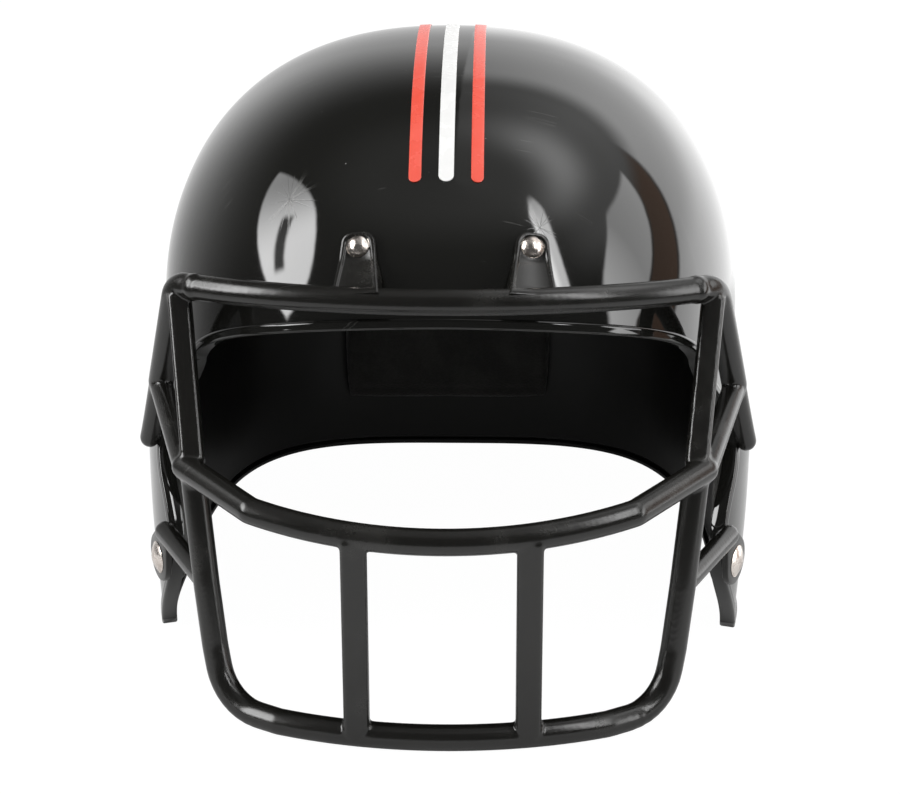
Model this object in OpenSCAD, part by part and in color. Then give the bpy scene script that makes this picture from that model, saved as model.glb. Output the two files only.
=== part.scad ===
// Football helmet: a moulded shell with a riveted one-piece face guard and foam pads.
// The front faces -Y, +Z is up, and the helmet stands on its neck rim and its lowest bar.

/* [Shell] */
// Half of the shell's width at the temples
half_width = 115; // [105:1:122]
// Half of the shell's length from brow to nape
half_length = 143; // [134:1:152]
// Centre of the shell's plan, measured back from the middle of the whole helmet
shell_y = 27; // [22:1:32]
// Height of the widest level
temple_z = 115; // [110:1:120]
// Rise of the dome above the widest level
dome_rise = 106; // [96:1:114]
// Squareness of the dome seen from the front, where 2 is an ellipse
dome_power = 2.37; // [2.2:0.01:2.6]
// Squareness of the plan at the dome
crown_power = 2.3; // [2.1:0.1:2.6]
// Squareness of the plan at the jaw flaps
jaw_power = 3; // [2.8:0.05:3.2]
// Squareness of the plan at the nape
nape_power = 3.4; // [3:0.1:3.8]
// How far the ears bulge past the temples
ear_bulge = 8; // [5:0.5:9]
// How far the nape draws in at the neck
nape_draw = 11; // [6:0.5:13]
// Wall thickness of the shell
wall = 3; // [2:0.25:4]
// Diameter of each ear hole
ear_hole_d = 24; // [14:1:30]

/* [Face opening] */
// Height of the brow crease at the middle, above the temples
brow_rise = 35; // [31:0.5:39]
// Squareness of the brow corners
brow_power = 1.75; // [1.6:0.05:2.2]
// Places round the opening are measured back from the foremost point of the shell
// Place of the brow corner, and its height above the temples
corner_back = 55; // [51:1:59]
corner_rise = 3; // [1:1:6]
// Deepest point of the opening's side, and its height
notch_back = 69; // [66:1:73]
notch_z = 88; // [84:1:92]
// Foremost point of the jaw flap, and its height
nose_back = 45; // [43:1:46]
nose_z = 44; // [41:1:47]
// Foremost point of the neck rim
tip_back = 72; // [69:1:75]
// Width of the raised rim round every edge
rim_w = 4; // [3:0.25:4.5]
// How far the rim stands proud of the shell
rim_h = 1.1; // [0.6:0.1:1.4]
// Depth of the rim measured in from the shell's outside
rim_depth = 5; // [4.5:0.25:7]

/* [Face guard] */
// Diameter of the guard's bars
bar_d = 9.8; // [9:0.2:10.4]
// Diameter of the jaw links
link_d = 8; // [7:0.25:8.5]
// Width of the flat uprights under the corners
upright_w = 8.4; // [7:0.2:9.5]
// Width of the two front uprights
post_w = 9.4; // [8:0.2:10.4]
// Depth of the flat uprights
upright_depth = 7; // [6:0.2:8]
// Height of the top bar at the middle
top_bar_z = 158.5; // [157:0.5:160]
// Height of the middle bar at the middle
mid_bar_z = 85.5; // [84:0.5:90]
// Half of the distance between the two front uprights
post_x = 31; // [26:1:36]
// Reach of the top bar in front of the shell
top_bar_reach = 4; // [2:0.5:6]
// Reach of the middle bar in front of the shell
mid_bar_reach = 50.2; // [46:0.1:52]
// Reach of the lowest bar in front of the shell
low_bar_reach = 39.5; // [36:0.5:42]
// Thickness of the brow lugs
lug_t = 3; // [2.5:0.25:3.5]
// Width of a brow lug at its foot
brow_lug_w = 17.5; // [15:0.5:20]
// Width of a brow lug at its head
brow_lug_head_w = 12.5; // [12:0.5:14]
// Width of the raised border round a brow lug
lug_border = 1.6; // [1:0.1:1.8]
// Depth of the recess inside that border
lug_recess = 0.8; // [0.4:0.1:1.2]
// Thickness of the jaw lugs
jaw_lug_t = 2.5; // [2.25:0.25:3]
// Radius of a jaw lug round its rivet
jaw_lug_r = 9.5; // [8.5:0.25:10]

/* [Rivets] */
// Distance of a brow rivet from the middle plane
brow_rivet_x = 31; // [27:0.5:36]
// Place of a brow rivet, back from the foremost point of the shell
brow_rivet_back = 18.5; // [17:0.5:20]
// Place of a jaw rivet, measured alike, and its height
jaw_rivet_back = 48.5; // [48.5:0.5:50.5]
jaw_rivet_z = 39; // [37.5:0.5:40.5]
// Diameter of a brow rivet's head
brow_head_d = 8.6; // [7:0.2:9.4]
// Diameter of a jaw rivet's head
jaw_head_d = 12.5; // [10:0.5:13]
// Diameter of every rivet's shank
shank_d = 4; // [3:0.25:5]
// Clearance of a shank in its holes
shank_gap = 0.15; // [0.1:0.05:0.3]
// Thickness of the clinch washers
washer_t = 1; // [0.8:0.1:1.5]
// How far a brow washer reaches past the shank
brow_washer_rim = 3; // [2:0.25:3]
// How far a jaw washer reaches past the shank, short of the turned edge of the jaw
jaw_washer_rim = 1.4; // [1.2:0.1:1.4]

/* [Foam pads] */
// Gap between a pad and the shell
pad_gap = 0.3; // [0.2:0.05:0.6]
// Thickness of the nape pad
nape_pad_t = 11; // [8:0.5:14]
// Half width of the nape pad
nape_pad_half_w = 47; // [40:1:52]
// How far the nape pad sits off the middle plane
nape_pad_x = -4; // [-5:0.5:0]
// Height of the nape pad's lower edge
nape_pad_z = 24; // [20:1:30]
// Height of the nape pad
nape_pad_h = 78; // [66:1:84]
// Thickness of the side, crown and brow pads
pad_t = 10; // [7:0.5:12]
// Half width and half length of the crown pad
crown_pad_half_w = 48; // [40:1:52]
crown_pad_half_l = 52; // [44:1:56]
// Half height of a side pad
side_pad_half_h = 26; // [20:1:28]
// Half height of the brow pad
brow_pad_half_h = 9; // [7:0.5:10]
// Thickness of the jaw pads
jaw_pad_t = 9; // [7:0.5:11]
// Half width and half height of a jaw pad
jaw_pad_half_w = 20; // [15:0.5:21]
jaw_pad_half_h = 27; // [22:1:28]

/* [Crest stripes] */
// Width of a red stripe
red_w = 4.6; // [3:0.2:6]
// Width of the white stripe
white_w = 5.6; // [3:0.2:8]
// Distance of a red stripe's middle from the middle plane
red_x = 11.4; // [10:0.2:13]
// Thickness of the stripes
stripe_t = 0.3; // [0.2:0.05:0.5]

/* [Hidden] */
// The shell's foremost and highest points
front_y = shell_y - half_length;
dome_top = temple_z + dome_rise;
brow_z = temple_z + brow_rise;
corner_y = front_y + corner_back;
corner_z = temple_z + corner_rise;
notch_y = front_y + notch_back;
nose_y = front_y + nose_back;
tip_y = front_y + tip_back;
brow_rivet_y = front_y + brow_rivet_back;
jaw_rivet_y = front_y + jaw_rivet_back;
bar_r = bar_d / 2;
arm_end_d = bar_d - 1.8;
// Bars stop this short of a joint's middle, and a joint is this much fuller than its bars
joint_gap = 0.05;
joint_swell = 0.3;
bar_fn = 16;
// Cells of the shell's mesh: brow, side, dome rows and skirt rows
brow_n = 10;
side_n = 18;
dome_n = 10;
skirt_n = 14;
cols = 2 * (brow_n + side_n);
rows = dome_n + skirt_n;

// Small helpers
function signed_pow(v, p) = sign(v) * pow(abs(v), p);
function clamp01(t) = min(1, max(0, t));
function smooth(t) = let (u = clamp01(t)) u * u * (3 - 2 * u);
function unit(v) = v / norm(v);
function bezier(p, t) = pow(1 - t, 3) * p[0] + 3 * t * pow(1 - t, 2) * p[1]
    + 3 * t * t * (1 - t) * p[2] + pow(t, 3) * p[3];

// The shell's outside. b is the angle in plan (-90 is the front, 90 the nape), z the height and
// d the distance in from the outside.
function plan_power(z, end) = crown_power
    + ((end > 0 ? nape_power : jaw_power) - crown_power) * smooth((temple_z + 15 - z) / (temple_z - 20));
function dome_share(z, d) = z <= temple_z ? 1
    : pow(max(0, 1 - pow((z - temple_z) / (dome_rise - d), dome_power)), 1 / dome_power);
function width_at(s, z) = let (t = max(0, (temple_z - z) / temple_z), rear = 0.5 + 0.5 * s)
    half_width + ear_bulge * smooth(2.4 * t) * (1 - t * t / 2) * smooth(2.05 - 3 * rear)
        - nape_draw * t * t * pow(rear, 1.3) * smooth(3 * rear - 0.6);
function shell_point(b, z, d = 0) = let (m = plan_power(z, b), g = dome_share(z, 0))
    [(width_at(sin(b), z) - d) * g * signed_pow(cos(b), 2 / m),
     shell_y + (half_length - d) * g * signed_pow(sin(b), 2 / m),
     z - d * max(0, z - temple_z) / dome_rise];
// The same surface solved for x, y or z
function angle_at(y, z) = let (m = plan_power(z, y - shell_y), g = dome_share(z, 0),
        q = (y - shell_y) / (half_length * g))
    asin(signed_pow(min(1, abs(q)) * sign(q), m / 2));
function end_y(x, z, side, d = 0) = let (m = plan_power(z, side), g = dome_share(z, d),
        q = min(1, abs(x) / ((width_at(side * 0.9, z) - d) * g)))
    shell_y + side * (half_length - d) * g * pow(1 - pow(q, m), 1 / m);
function top_z(x, y, d = 0) = let (m = crown_power,
        g = pow(pow(abs(x) / (half_width - d), m) + pow(abs(y - shell_y) / (half_length - d), m), 1 / m))
    temple_z + (dome_rise - d) * pow(max(0, 1 - pow(g, dome_power)), 1 / dome_power);
function surface_normal(b, z) = let (e = 0.5,
        along = shell_point(b + e, z) - shell_point(b - e, z),
        up = shell_point(b, z + e) - shell_point(b, z - e))
    unit(cross(along, up));

// Edge of the opening and of the neck, on the +X side
corner_b = angle_at(corner_y, corner_z);
function brow_edge(u) = [-90 + (corner_b + 90) * pow(sin(90 * u), 2 / brow_power),
    corner_z + (brow_z - corner_z) * pow(cos(90 * u), 2 / brow_power)];
corner_curve = [[corner_y, corner_z], [corner_y + 5, corner_z - 10], [notch_y, notch_z + 11],
    [notch_y, notch_z]];
jaw_curve = [[notch_y, notch_z], [notch_y, notch_z - 14], [nose_y, nose_z + 22], [nose_y, nose_z]];
chin_curve = [[nose_y, nose_z], [nose_y, nose_z - 14], [tip_y, rim_w + 4], [tip_y, rim_w]];
// Skirt rows 0 to skirt_n walk down the three curves
corner_rows = 4;
jaw_rows = 5;
chin_rows = skirt_n - corner_rows - jaw_rows;
function side_edge(r) = r <= corner_rows ? bezier(corner_curve, r / corner_rows)
    : r <= corner_rows + jaw_rows ? bezier(jaw_curve, (r - corner_rows) / jaw_rows)
    : bezier(chin_curve, (r - corner_rows - jaw_rows) / chin_rows);

// Chart place [b, z] of column c and row r
function fold(c) = c <= cols / 2 ? c : cols - c;
function dome_z(end_z, t) = end_z >= temple_z
    ? let (a1 = asin(pow((end_z - temple_z) / dome_rise, dome_power / 2)))
        temple_z + dome_rise * pow(sin(90 + (a1 - 90) * t), 2 / dome_power)
    : end_z;
function chart(c, r) = let (k = fold(c)) r <= dome_n
    ? (k <= brow_n
        ? let (e = brow_edge(k / brow_n)) [e[0], dome_z(e[1], r / dome_n)]
        : [side_b(k, corner_b), dome_z(corner_z, r / dome_n)])
    : let (e = side_edge(r - dome_n)) [side_b(k, angle_at(e[0], e[1])), e[1]];
function side_b(k, b0) = let (u = (k - brow_n) / side_n) b0 + (90 - b0) * u;
function mirrored(c, p) = c <= cols / 2 ? p : [-p[0], p[1], p[2]];
function grid_point(c, r, d) = let (p = chart(c, r)) mirrored(c, shell_point(p[0], p[1], d));
function grid_normal(c, r) = let (p = chart(c, r), b = p[0] > 89.5 ? 89.5 : p[0] < -89.5 ? -89.5 : p[0],
        n = surface_normal(b, p[1]), flat = p[0] > 89.5 || p[0] < -89.5)
    mirrored(c, flat ? unit([0, n[1], n[2]]) : n);

// Walk round the edge as [column, row] pairs
left_c = cols - brow_n;
edge_walk = concat([for (c = [0:brow_n]) [c, dome_n]], [for (r = [dome_n + 1:rows]) [brow_n, r]],
    [for (c = [brow_n + 1:left_c]) [c, rows]], [for (r = [rows - 1:-1:dome_n]) [left_c, r]],
    [for (c = [left_c + 1:cols - 1]) [c, dome_n]]);
edge_n = len(edge_walk);
edge_points = [for (e = edge_walk) grid_point(e[0], e[1], 0)];
rim_profile = [[rim_h, 0.6], [rim_h, rim_w - 0.8], [rim_h - 0.8, rim_w], [-rim_depth, rim_w],
    [-rim_depth, rim_w - 2.4], [-wall, rim_w - 2.8]];
rim_n = len(rim_profile);
// Rim points: n is the offset along the outside's normal, o the offset past the edge
function rim_point(j, k) = let (e = edge_walk[j], n = grid_normal(e[0], e[1]),
        t = unit(edge_points[(j + 1) % edge_n] - edge_points[(j + edge_n - 1) % edge_n]),
        o = unit(cross(t, n)), s = rim_profile[k])
    edge_points[j] + s[0] * n + s[1] * o;

module shell_body() {
    // Point numbers: outer crown, outer grid, inner crown, inner grid, rim
    layer = 1 + cols * rows;
    function at(l, c, r) = l * layer + 1 + (c % cols) * rows + r - 1;
    function rim_at(j, k) = 2 * layer + (j % edge_n) * rim_n + k;
    function on_skirt(c) = c >= brow_n && c < left_c;
    points = concat([for (l = [0:1], c = [-1:cols - 1], r = [1:rows]) if (c >= 0 || r == 1)
            c < 0 ? [0, shell_y, dome_top - l * wall]
            : grid_point(c, fold(c) < brow_n ? min(r, dome_n) : r, l * wall)],
        [for (j = [0:edge_n - 1], k = [0:rim_n - 1]) rim_point(j, k)]);
    function quad(a, b, c, d) = [[a, b, c], [a, c, d]];
    crown = [for (c = [0:cols - 1]) each [[0, at(0, c + 1, 1), at(0, c, 1)],
        [layer, at(1, c, 1), at(1, c + 1, 1)]]];
    skin = [for (c = [0:cols - 1], r = [1:rows - 1]) if (r < dome_n || on_skirt(c))
        each concat(quad(at(0, c, r), at(0, c + 1, r), at(0, c + 1, r + 1), at(0, c, r + 1)),
            quad(at(1, c, r + 1), at(1, c + 1, r + 1), at(1, c + 1, r), at(1, c, r)))];
    function loop_at(j, k) = let (e = edge_walk[j % edge_n])
        k < 0 ? at(0, e[0], e[1]) : k == rim_n ? at(1, e[0], e[1]) : rim_at(j, k);
    rim = [for (j = [0:edge_n - 1], k = [-1:rim_n - 1])
        each quad(loop_at(j, k), loop_at(j + 1, k), loop_at(j + 1, k + 1), loop_at(j, k + 1))];
    polyhedron(points, concat(crown, skin, rim), convexity = 10);
}

// Direction up the wall, without leaning sideways on the front
function up_wall(n) = abs(n[0]) < 0.6 ? unit([0, n[2], -n[1]]) : unit([0, 0, 1] - n[2] * n);
// Puts children with +Z along the shell's normal at a point of the +X side, +Y up the wall
module on_shell(b, z) {
    p = shell_point(b, z);
    n = surface_normal(b, z);
    up = up_wall(n);
    side = cross(up, n);
    multmatrix([[side[0], up[0], n[0], p[0]], [side[1], up[1], n[1], p[1]], [side[2], up[2], n[2], p[2]],
        [0, 0, 0, 1]]) children();
}
module both_sides() {
    children();
    mirror([1, 0, 0]) children();
}
brow_rivet_z = top_z(brow_rivet_x, brow_rivet_y);
brow_rivet_b = angle_at(brow_rivet_y, brow_rivet_z);
jaw_rivet_b = angle_at(jaw_rivet_y, jaw_rivet_z);
module at_brow_rivet() {
    on_shell(brow_rivet_b, brow_rivet_z) children();
}
module at_jaw_rivet() {
    on_shell(jaw_rivet_b, jaw_rivet_z) children();
}
// Place of an ear hole
ear_y = shell_y - 7;
ear_z = temple_z - 49;

module shell() {
    color("#0c0c0d") difference() {
        shell_body();
        both_sides() {
            at_brow_rivet() cylinder(h = 30, d = shank_d + 2 * shank_gap, center = true, $fn = 32);
            at_jaw_rivet() cylinder(h = 30, d = shank_d + 2 * shank_gap, center = true, $fn = 32);
            translate([half_width, ear_y, ear_z]) rotate([0, 90, 0])
                cylinder(h = 40, d = ear_hole_d, center = true, $fn = 48);
        }
    }
}

// Puts children at a with +Z towards b
module along(a, b, roll = [0, 0, 1]) {
    w = unit(b - a);
    u = unit(cross(roll, w));
    v = cross(w, u);
    multmatrix([[u[0], v[0], w[0], a[0]], [u[1], v[1], w[1], a[1]], [u[2], v[2], w[2], a[2]], [0, 0, 0, 1]])
        children();
}
// Straight bar that stops just short of both points, where the joints take over
module straight(a, b, d, end_d = 0) {
    along(a, b, abs(unit(b - a)[2]) > 0.9 ? [0, 1, 0] : [0, 0, 1]) translate([0, 0, joint_gap])
        cylinder(h = norm(b - a) - 2 * joint_gap, d1 = d, d2 = end_d > 0 ? end_d : d, $fn = bar_fn);
}
// Rounded joint, a little fuller than the bars that meet in it
module joint(p, d) {
    translate(p) rotate([37, 23, 11]) sphere(d = d + joint_swell, $fn = bar_fn);
}
// Bar bowed round the front from p through the middle point m to the far side
module bow(p, m, d) {
    back = [0, p[1] - m[1], p[2] - m[2]];
    h = norm(back);
    r = (p[0] * p[0] + h * h) / (2 * h);
    out = -back / h;
    axis = cross([1, 0, 0], out);
    centre = m - out * r;
    half = asin(p[0] / r) - joint_gap * 180 / PI / r;
    multmatrix([[1, out[0], axis[0], centre[0]], [0, out[1], axis[1], centre[1]],
        [0, out[2], axis[2], centre[2]], [0, 0, 0, 1]])
        rotate([0, 0, 90 - half]) rotate_extrude(angle = 2 * half, $fn = 64) translate([r, 0])
            circle(d = d, $fn = bar_fn);
}
// Corner of a bar at p, bent to radius r between the lines to a and c, with its two straights
function turn_at(a, p, c) = 180 - acos(unit(a - p) * unit(c - p));
function bend_cut(a, p, c, r) = r * tan(turn_at(a, p, c) / 2);
module bent_corner(a, p, c, r, d) {
    u = unit(a - p);
    w = unit(c - p);
    turn = turn_at(a, p, c);
    cut = bend_cut(a, p, c, r);
    centre = p + unit(u + w) * r / cos(turn / 2);
    out = unit(p + u * cut - centre);
    axis = unit(cross(w, u));
    next = cross(axis, out);
    short = joint_gap * 180 / PI / r;
    multmatrix([[out[0], next[0], axis[0], centre[0]], [out[1], next[1], axis[1], centre[1]],
        [out[2], next[2], axis[2], centre[2]], [0, 0, 0, 1]])
        rotate([0, 0, short]) rotate_extrude(angle = turn - 2 * short, $fn = 40) translate([r, 0])
            circle(d = d, $fn = bar_fn);
    straight(a, p + u * cut, d);
    straight(p + w * cut, c, d);
    joint(p + u * cut, d);
    joint(p + w * cut, d);
}

// Corners of the guard's bars on the +X side: x in from the shell's side, y back from its front
function corner(x, y, z) = [half_width - x, front_y + y, z];
top_middle = [0, front_y - top_bar_reach, top_bar_z];
mid_middle = [0, front_y - mid_bar_reach, mid_bar_z];
low_z = (bar_d + joint_swell) / 2;
low_middle = [0, front_y - low_bar_reach, low_z];
top_end = corner(23.5, 26, top_bar_z - 4);
elbow = corner(15.5, 33.5, top_bar_z - 5);
arm_mid = corner(5.8, 54, top_bar_z - 51);
arm_end = corner(-0.3, 64, top_bar_z - 76.5);
mid_corner = corner(47, -34, mid_bar_z + 5);
mid_side = corner(20, 3, mid_bar_z + 7.5);
low_side = corner(30.4, -8.3, 27);
low_corner = corner(34.5, -13.5, low_z);
low_bow = corner(55, -27.2, low_z);
low_top = corner(23.2, 2, mid_bar_z + 5);
link_end = corner(27.5, -4.9, mid_bar_z - 35);
upright_top = corner(16.8, 31, top_bar_z - 8.5);
upright_foot = corner(23.2, 3, mid_bar_z + 8.5);

// Flat upright with two bevelled front edges
module upright(a, b, w, h) {
    bevel = 2;
    along(a, b, [-1, 0, 0]) linear_extrude(norm(b - a)) polygon([[-h / 2, -w / 2], [h / 2 - bevel, -w / 2],
        [h / 2, bevel - w / 2], [h / 2, w / 2 - bevel], [h / 2 - bevel, w / 2], [-h / 2, w / 2]]);
}
// Front upright between the middle and the lowest bar
module post() {
    // How far back the two bows have come at the post, less the depth that it sinks into them
    back = [0, post_x * post_x / 310 - 0.8, 0];
    right = [post_x, 0, 0];
    upright(mid_middle + right + back, low_middle + right + back + [0, 0, 1], post_w, upright_depth);
}

// Brow lug in its rivet's frame: a wedge from the shell out to the top bar
seat = 0.2;
brow_p = shell_point(brow_rivet_b, brow_rivet_z);
brow_out = surface_normal(brow_rivet_b, brow_rivet_z);
brow_up = up_wall(brow_out);
bar_at = let (y = brow_rivet_x * brow_rivet_x / 308) top_middle + [brow_rivet_x, y, -y * 0.13];
function from_brow(p) = [brow_up * (p - brow_p), brow_out * (p - brow_p)];
lug_front = from_brow(bar_at + [0, -bar_r * 0.78, bar_r * 0.74]);
lug_heart = from_brow(bar_at);
lug_back = from_brow(bar_at + [0, bar_r * 0.9, 0]);
lug_head = brow_lug_head_w / 2 - 1;
module lug_plan(inset) {
    h = brow_lug_head_w / 2 - inset;
    w = brow_lug_w / 2 - inset;
    top = lug_head - inset;
    polygon([[-w, lug_heart[0] - 2], [w, lug_heart[0] - 2], [h, top - 2.6], [h - 2.6, top], [2.6 - h, top],
        [-h, top - 2.6]]);
}
module lug_side(low, rest) {
    translate([-20, 0, 0]) rotate([90, 0, 90]) linear_extrude(40) polygon(concat(
        [[lug_head + 1, lug_t - low], [-5, lug_t - low], [lug_front[0], lug_front[1] - low]], rest));
}
module brow_lug() {
    difference() {
        intersection() {
            linear_extrude(20) lug_plan(0);
            lug_side(0, [lug_heart, lug_back, [lug_back[0] + 6, seat], [lug_head + 1, seat]]);
        }
        intersection() {
            linear_extrude(20) lug_plan(lug_border);
            lug_side(lug_recess, [[lug_front[0], 19], [lug_head + 1, 19]]);
            translate([-20, lug_front[0] + lug_border, 0]) cube([40, 40, 20]);
        }
        cylinder(h = 20, d = shank_d + 2 * shank_gap, center = true, $fn = 24);
    }
}

// Jaw lug in its rivet's frame: a plate that clears the rim and carries the link's ball
lug_base = rim_h + 0.3;
ball_at = [-7, 13];
ball_r = link_d / 2;
jaw_p = shell_point(jaw_rivet_b, jaw_rivet_z);
jaw_n = surface_normal(jaw_rivet_b, jaw_rivet_z);
jaw_up = up_wall(jaw_n);
link_ball = jaw_p + ball_at[0] * cross(jaw_up, jaw_n) + ball_at[1] * jaw_up
    + (lug_base + jaw_lug_t / 2) * jaw_n;
module jaw_lug() {
    reach = norm(ball_at);
    heading = atan2(ball_at[1], ball_at[0]);
    spread = acos((jaw_lug_r - ball_r) / reach);
    function rim_of(c, r, a) = [c[0] + r * cos(a), c[1] + r * sin(a)];
    difference() {
        union() {
            translate([0, 0, lug_base]) {
                cylinder(h = jaw_lug_t, r = jaw_lug_r, $fn = 40);
                linear_extrude(jaw_lug_t - 0.02) polygon([rim_of([0, 0], jaw_lug_r, heading + spread),
                    rim_of(ball_at, ball_r, heading + spread), rim_of(ball_at, ball_r, heading - spread),
                    rim_of([0, 0], jaw_lug_r, heading - spread)]);
            }
            translate([0, 0, seat]) cylinder(h = lug_base, r = shank_d / 2 + 1.6, $fn = 24);
        }
        cylinder(h = 20, d = shank_d + 2 * shank_gap, center = true, $fn = 24);
    }
}

module guard_half() {
    // Elbow and arm down the side of the shell
    joint(top_end, bar_d);
    bent_corner(top_end, elbow, arm_mid, 10, bar_d);
    joint(arm_mid, bar_d);
    straight(arm_mid, arm_end, bar_d, arm_end_d);
    joint(arm_end, arm_end_d);
    upright(upright_top, upright_foot, upright_w, upright_depth);
    // Middle bar from its corner back to the arm
    joint(mid_corner, bar_d);
    straight(mid_corner, mid_side, bar_d);
    joint(mid_side, bar_d);
    straight(mid_side, arm_mid, bar_d - 0.8);
    // Side of the lowest bar
    joint(low_bow, bar_d);
    bent_corner(low_bow, low_corner, low_side, 20, bar_d);
    joint(low_side, bar_d);
    straight(low_side, link_end, bar_d);
    joint(link_end, bar_d);
    straight(link_end, low_top, bar_d);
    post();
    // Link to the jaw
    straight(link_ball, link_end, link_d);
    joint(link_ball, link_d);
    at_brow_rivet() brow_lug();
    at_jaw_rivet() jaw_lug();
}

module face_guard() {
    color("#161617") {
        bow(top_end, top_middle, bar_d);
        bow(mid_corner, mid_middle, bar_d);
        bow(low_bow, low_middle, bar_d);
        both_sides() guard_half();
    }
}

// Rivet: domed head at height z, shank through the lug and the wall, clinched end below the washer
module rivet(z, head_d, head_h, under) {
    r = (head_d * head_d / 4 + head_h * head_h) / (2 * head_h);
    foot = -wall - under - washer_t;
    intersection() {
        translate([0, 0, z + head_h - r]) sphere(r = r, $fn = 96);
        translate([0, 0, z]) cylinder(h = head_h + 1, d = head_d, $fn = 48);
    }
    translate([0, 0, foot - 0.6]) cylinder(h = z + 0.1 - foot + 0.6, d = shank_d, $fn = 32);
    translate([0, 0, foot - 1.4]) cylinder(h = 1.4, d1 = shank_d + 1.2, d2 = shank_d + 1.6, $fn = 36);
}
module washer(under, rim) {
    translate([0, 0, -wall - under - washer_t]) difference() {
        cylinder(h = washer_t, d = shank_d + 2 * rim, $fn = 40);
        cylinder(h = 4, d = shank_d + 2 * shank_gap, center = true, $fn = 32);
    }
}
// How deep the washers seat behind the wall: its curve keeps a flat washer off its middle
brow_under = 0.9;
jaw_under = 0.65;
module brow_rivets() {
    color("#c9c0b4") both_sides() at_brow_rivet() rivet(lug_t - lug_recess, brow_head_d, 2.4, brow_under);
}
module jaw_rivets() {
    color("#c9c0b4") both_sides() at_jaw_rivet() rivet(lug_base + jaw_lug_t, jaw_head_d, 2.2, jaw_under);
}
module brow_rivet_washers() {
    color("#8d8a85") both_sides() at_brow_rivet() washer(brow_under, brow_washer_rim);
}
module jaw_rivet_washers() {
    color("#8d8a85") both_sides() at_jaw_rivet() washer(jaw_under, jaw_washer_rim);
}

// Foam pad: place(u, v, d) gives the point at u, v in -1 to 1 and depth d behind the shell's outside.
// turned is true where the depth runs against the turn from u to v, so that the faces still look out.
pad_n = 9;
function pillow(u, v) = 0.35 + 0.65 * pow(max(0, (1 - pow(u, 4)) * (1 - pow(v, 4))), 0.4);
module pad(place, t, corner = 0.14, turned = true) {
    back = wall + pad_gap;
    function spot(i) = 2 * i / (pad_n - 1) - 1;
    function tuck(a, b) = a * (1 - corner * pow(b, 4));
    points = [for (l = [0:1], i = [0:pad_n - 1], j = [0:pad_n - 1]) let (u = spot(i), v = spot(j))
        place(tuck(u, v), tuck(v, u), back + l * t * pillow(u, v))];
    function at(l, i, j) = (l * pad_n + i) * pad_n + j;
    function quad(a, b, c, d) = [[a, b, c], [a, c, d]];
    last = pad_n - 1;
    faces = [for (i = [0:last - 1], j = [0:last - 1])
        each concat(quad(at(0, i, j), at(0, i + 1, j), at(0, i + 1, j + 1), at(0, i, j + 1)),
            quad(at(1, i, j), at(1, i, j + 1), at(1, i + 1, j + 1), at(1, i + 1, j)))];
    ring = concat([for (i = [0:last - 1]) [i, 0]], [for (j = [0:last - 1]) [last, j]],
        [for (i = [last:-1:1]) [i, last]], [for (j = [last:-1:1]) [0, j]]);
    sides = [for (k = [0:len(ring) - 1]) let (a = ring[k], b = ring[(k + 1) % len(ring)])
        each quad(at(0, b[0], b[1]), at(0, a[0], a[1]), at(1, a[0], a[1]), at(1, b[0], b[1]))];
    skin = [for (f = concat(faces, sides)) turned ? [f[2], f[1], f[0]] : f];
    color("#2b2b2c") polyhedron(points, skin, convexity = 4);
}
function inward(b, z, d) = shell_point(b, z) - surface_normal(b, z) * d;
module nape_pad() {
    pad(function(u, v, d) let (x = nape_pad_x + u * nape_pad_half_w,
            z = nape_pad_z + nape_pad_h * (0.5 + v / 2))
        [x, end_y(x, z, 1, d), z], nape_pad_t, 0.04, false);
}
module brow_pad() {
    mirror([1, 0, 0])
        pad(function(u, v, d) inward(-90 + 34 * u, dome_top - 32 + brow_pad_half_h * v, d), pad_t);
}
module crown_pad() {
    pad(function(u, v, d) let (x = crown_pad_half_w * u, y = shell_y + 6 + crown_pad_half_l * v)
        [x, y, top_z(x, y) - d], pad_t);
}
module left_side_pad() {
    pad(function(u, v, d) inward(4 + 24 * u, temple_z + 13 + side_pad_half_h * v, d), pad_t);
}
module right_side_pad() {
    mirror([1, 0, 0]) left_side_pad();
}
module left_jaw_pad() {
    pad(function(u, v, d) let (z = nose_z + 2 + jaw_pad_half_h * v,
            y = nose_y + 34 + (jaw_pad_half_w - 2 * v) * u)
        inward(angle_at(y, z), z, d), jaw_pad_t);
}
module right_jaw_pad() {
    mirror([1, 0, 0]) left_jaw_pad();
}

// Crest stripe: a thin ribbon from the front of the dome to its back, round at both ends
stripe_seat = 0.3;
stripe_front = -49.5;
stripe_back = 74;
stripe_n = 30;
module stripe(x, w, colour) {
    span = stripe_back - stripe_front;
    round_end = w / 2 / half_length * 70;
    turns = concat([for (a = [10:20:70]) stripe_front + round_end * (1 - cos(a))],
        [for (i = [0:stripe_n]) stripe_front + round_end + (span - 2 * round_end) * i / stripe_n],
        [for (a = [70:-20:10]) stripe_back - round_end * (1 - cos(a))]);
    function half_w(q) = let (e = min(q - stripe_front, stripe_back - q) / round_end)
        w / 2 * (e >= 1 ? 1 : sqrt(1 - (1 - e) * (1 - e)));
    function on_dome(px, q, d) = let (y = shell_y + half_length * sin(q), e = 0.4,
            nx = top_z(px - e, y) - top_z(px + e, y), ny = top_z(px, y - e) - top_z(px, y + e))
        [px, y, top_z(px, y)] + d * unit([nx, ny, 2 * e]);
    points = [for (q = turns) let (h = half_w(q), top = stripe_seat + stripe_t)
        each [on_dome(x - h, q, stripe_seat), on_dome(x + h, q, stripe_seat), on_dome(x + h, q, top),
            on_dome(x - h, q, top)]];
    last = len(turns) - 1;
    sides = [for (i = [0:last - 1], k = [0:3]) let (n = (k + 1) % 4, a = 4 * i)
        each [[a + k, a + n, a + 4 + n], [a + k, a + 4 + n, a + 4 + k]]];
    color(colour) polyhedron(points, concat(sides, [[3, 2, 1], [3, 1, 0]],
        [[4 * last, 4 * last + 1, 4 * last + 2], [4 * last, 4 * last + 2, 4 * last + 3]]), convexity = 4);
}
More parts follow.
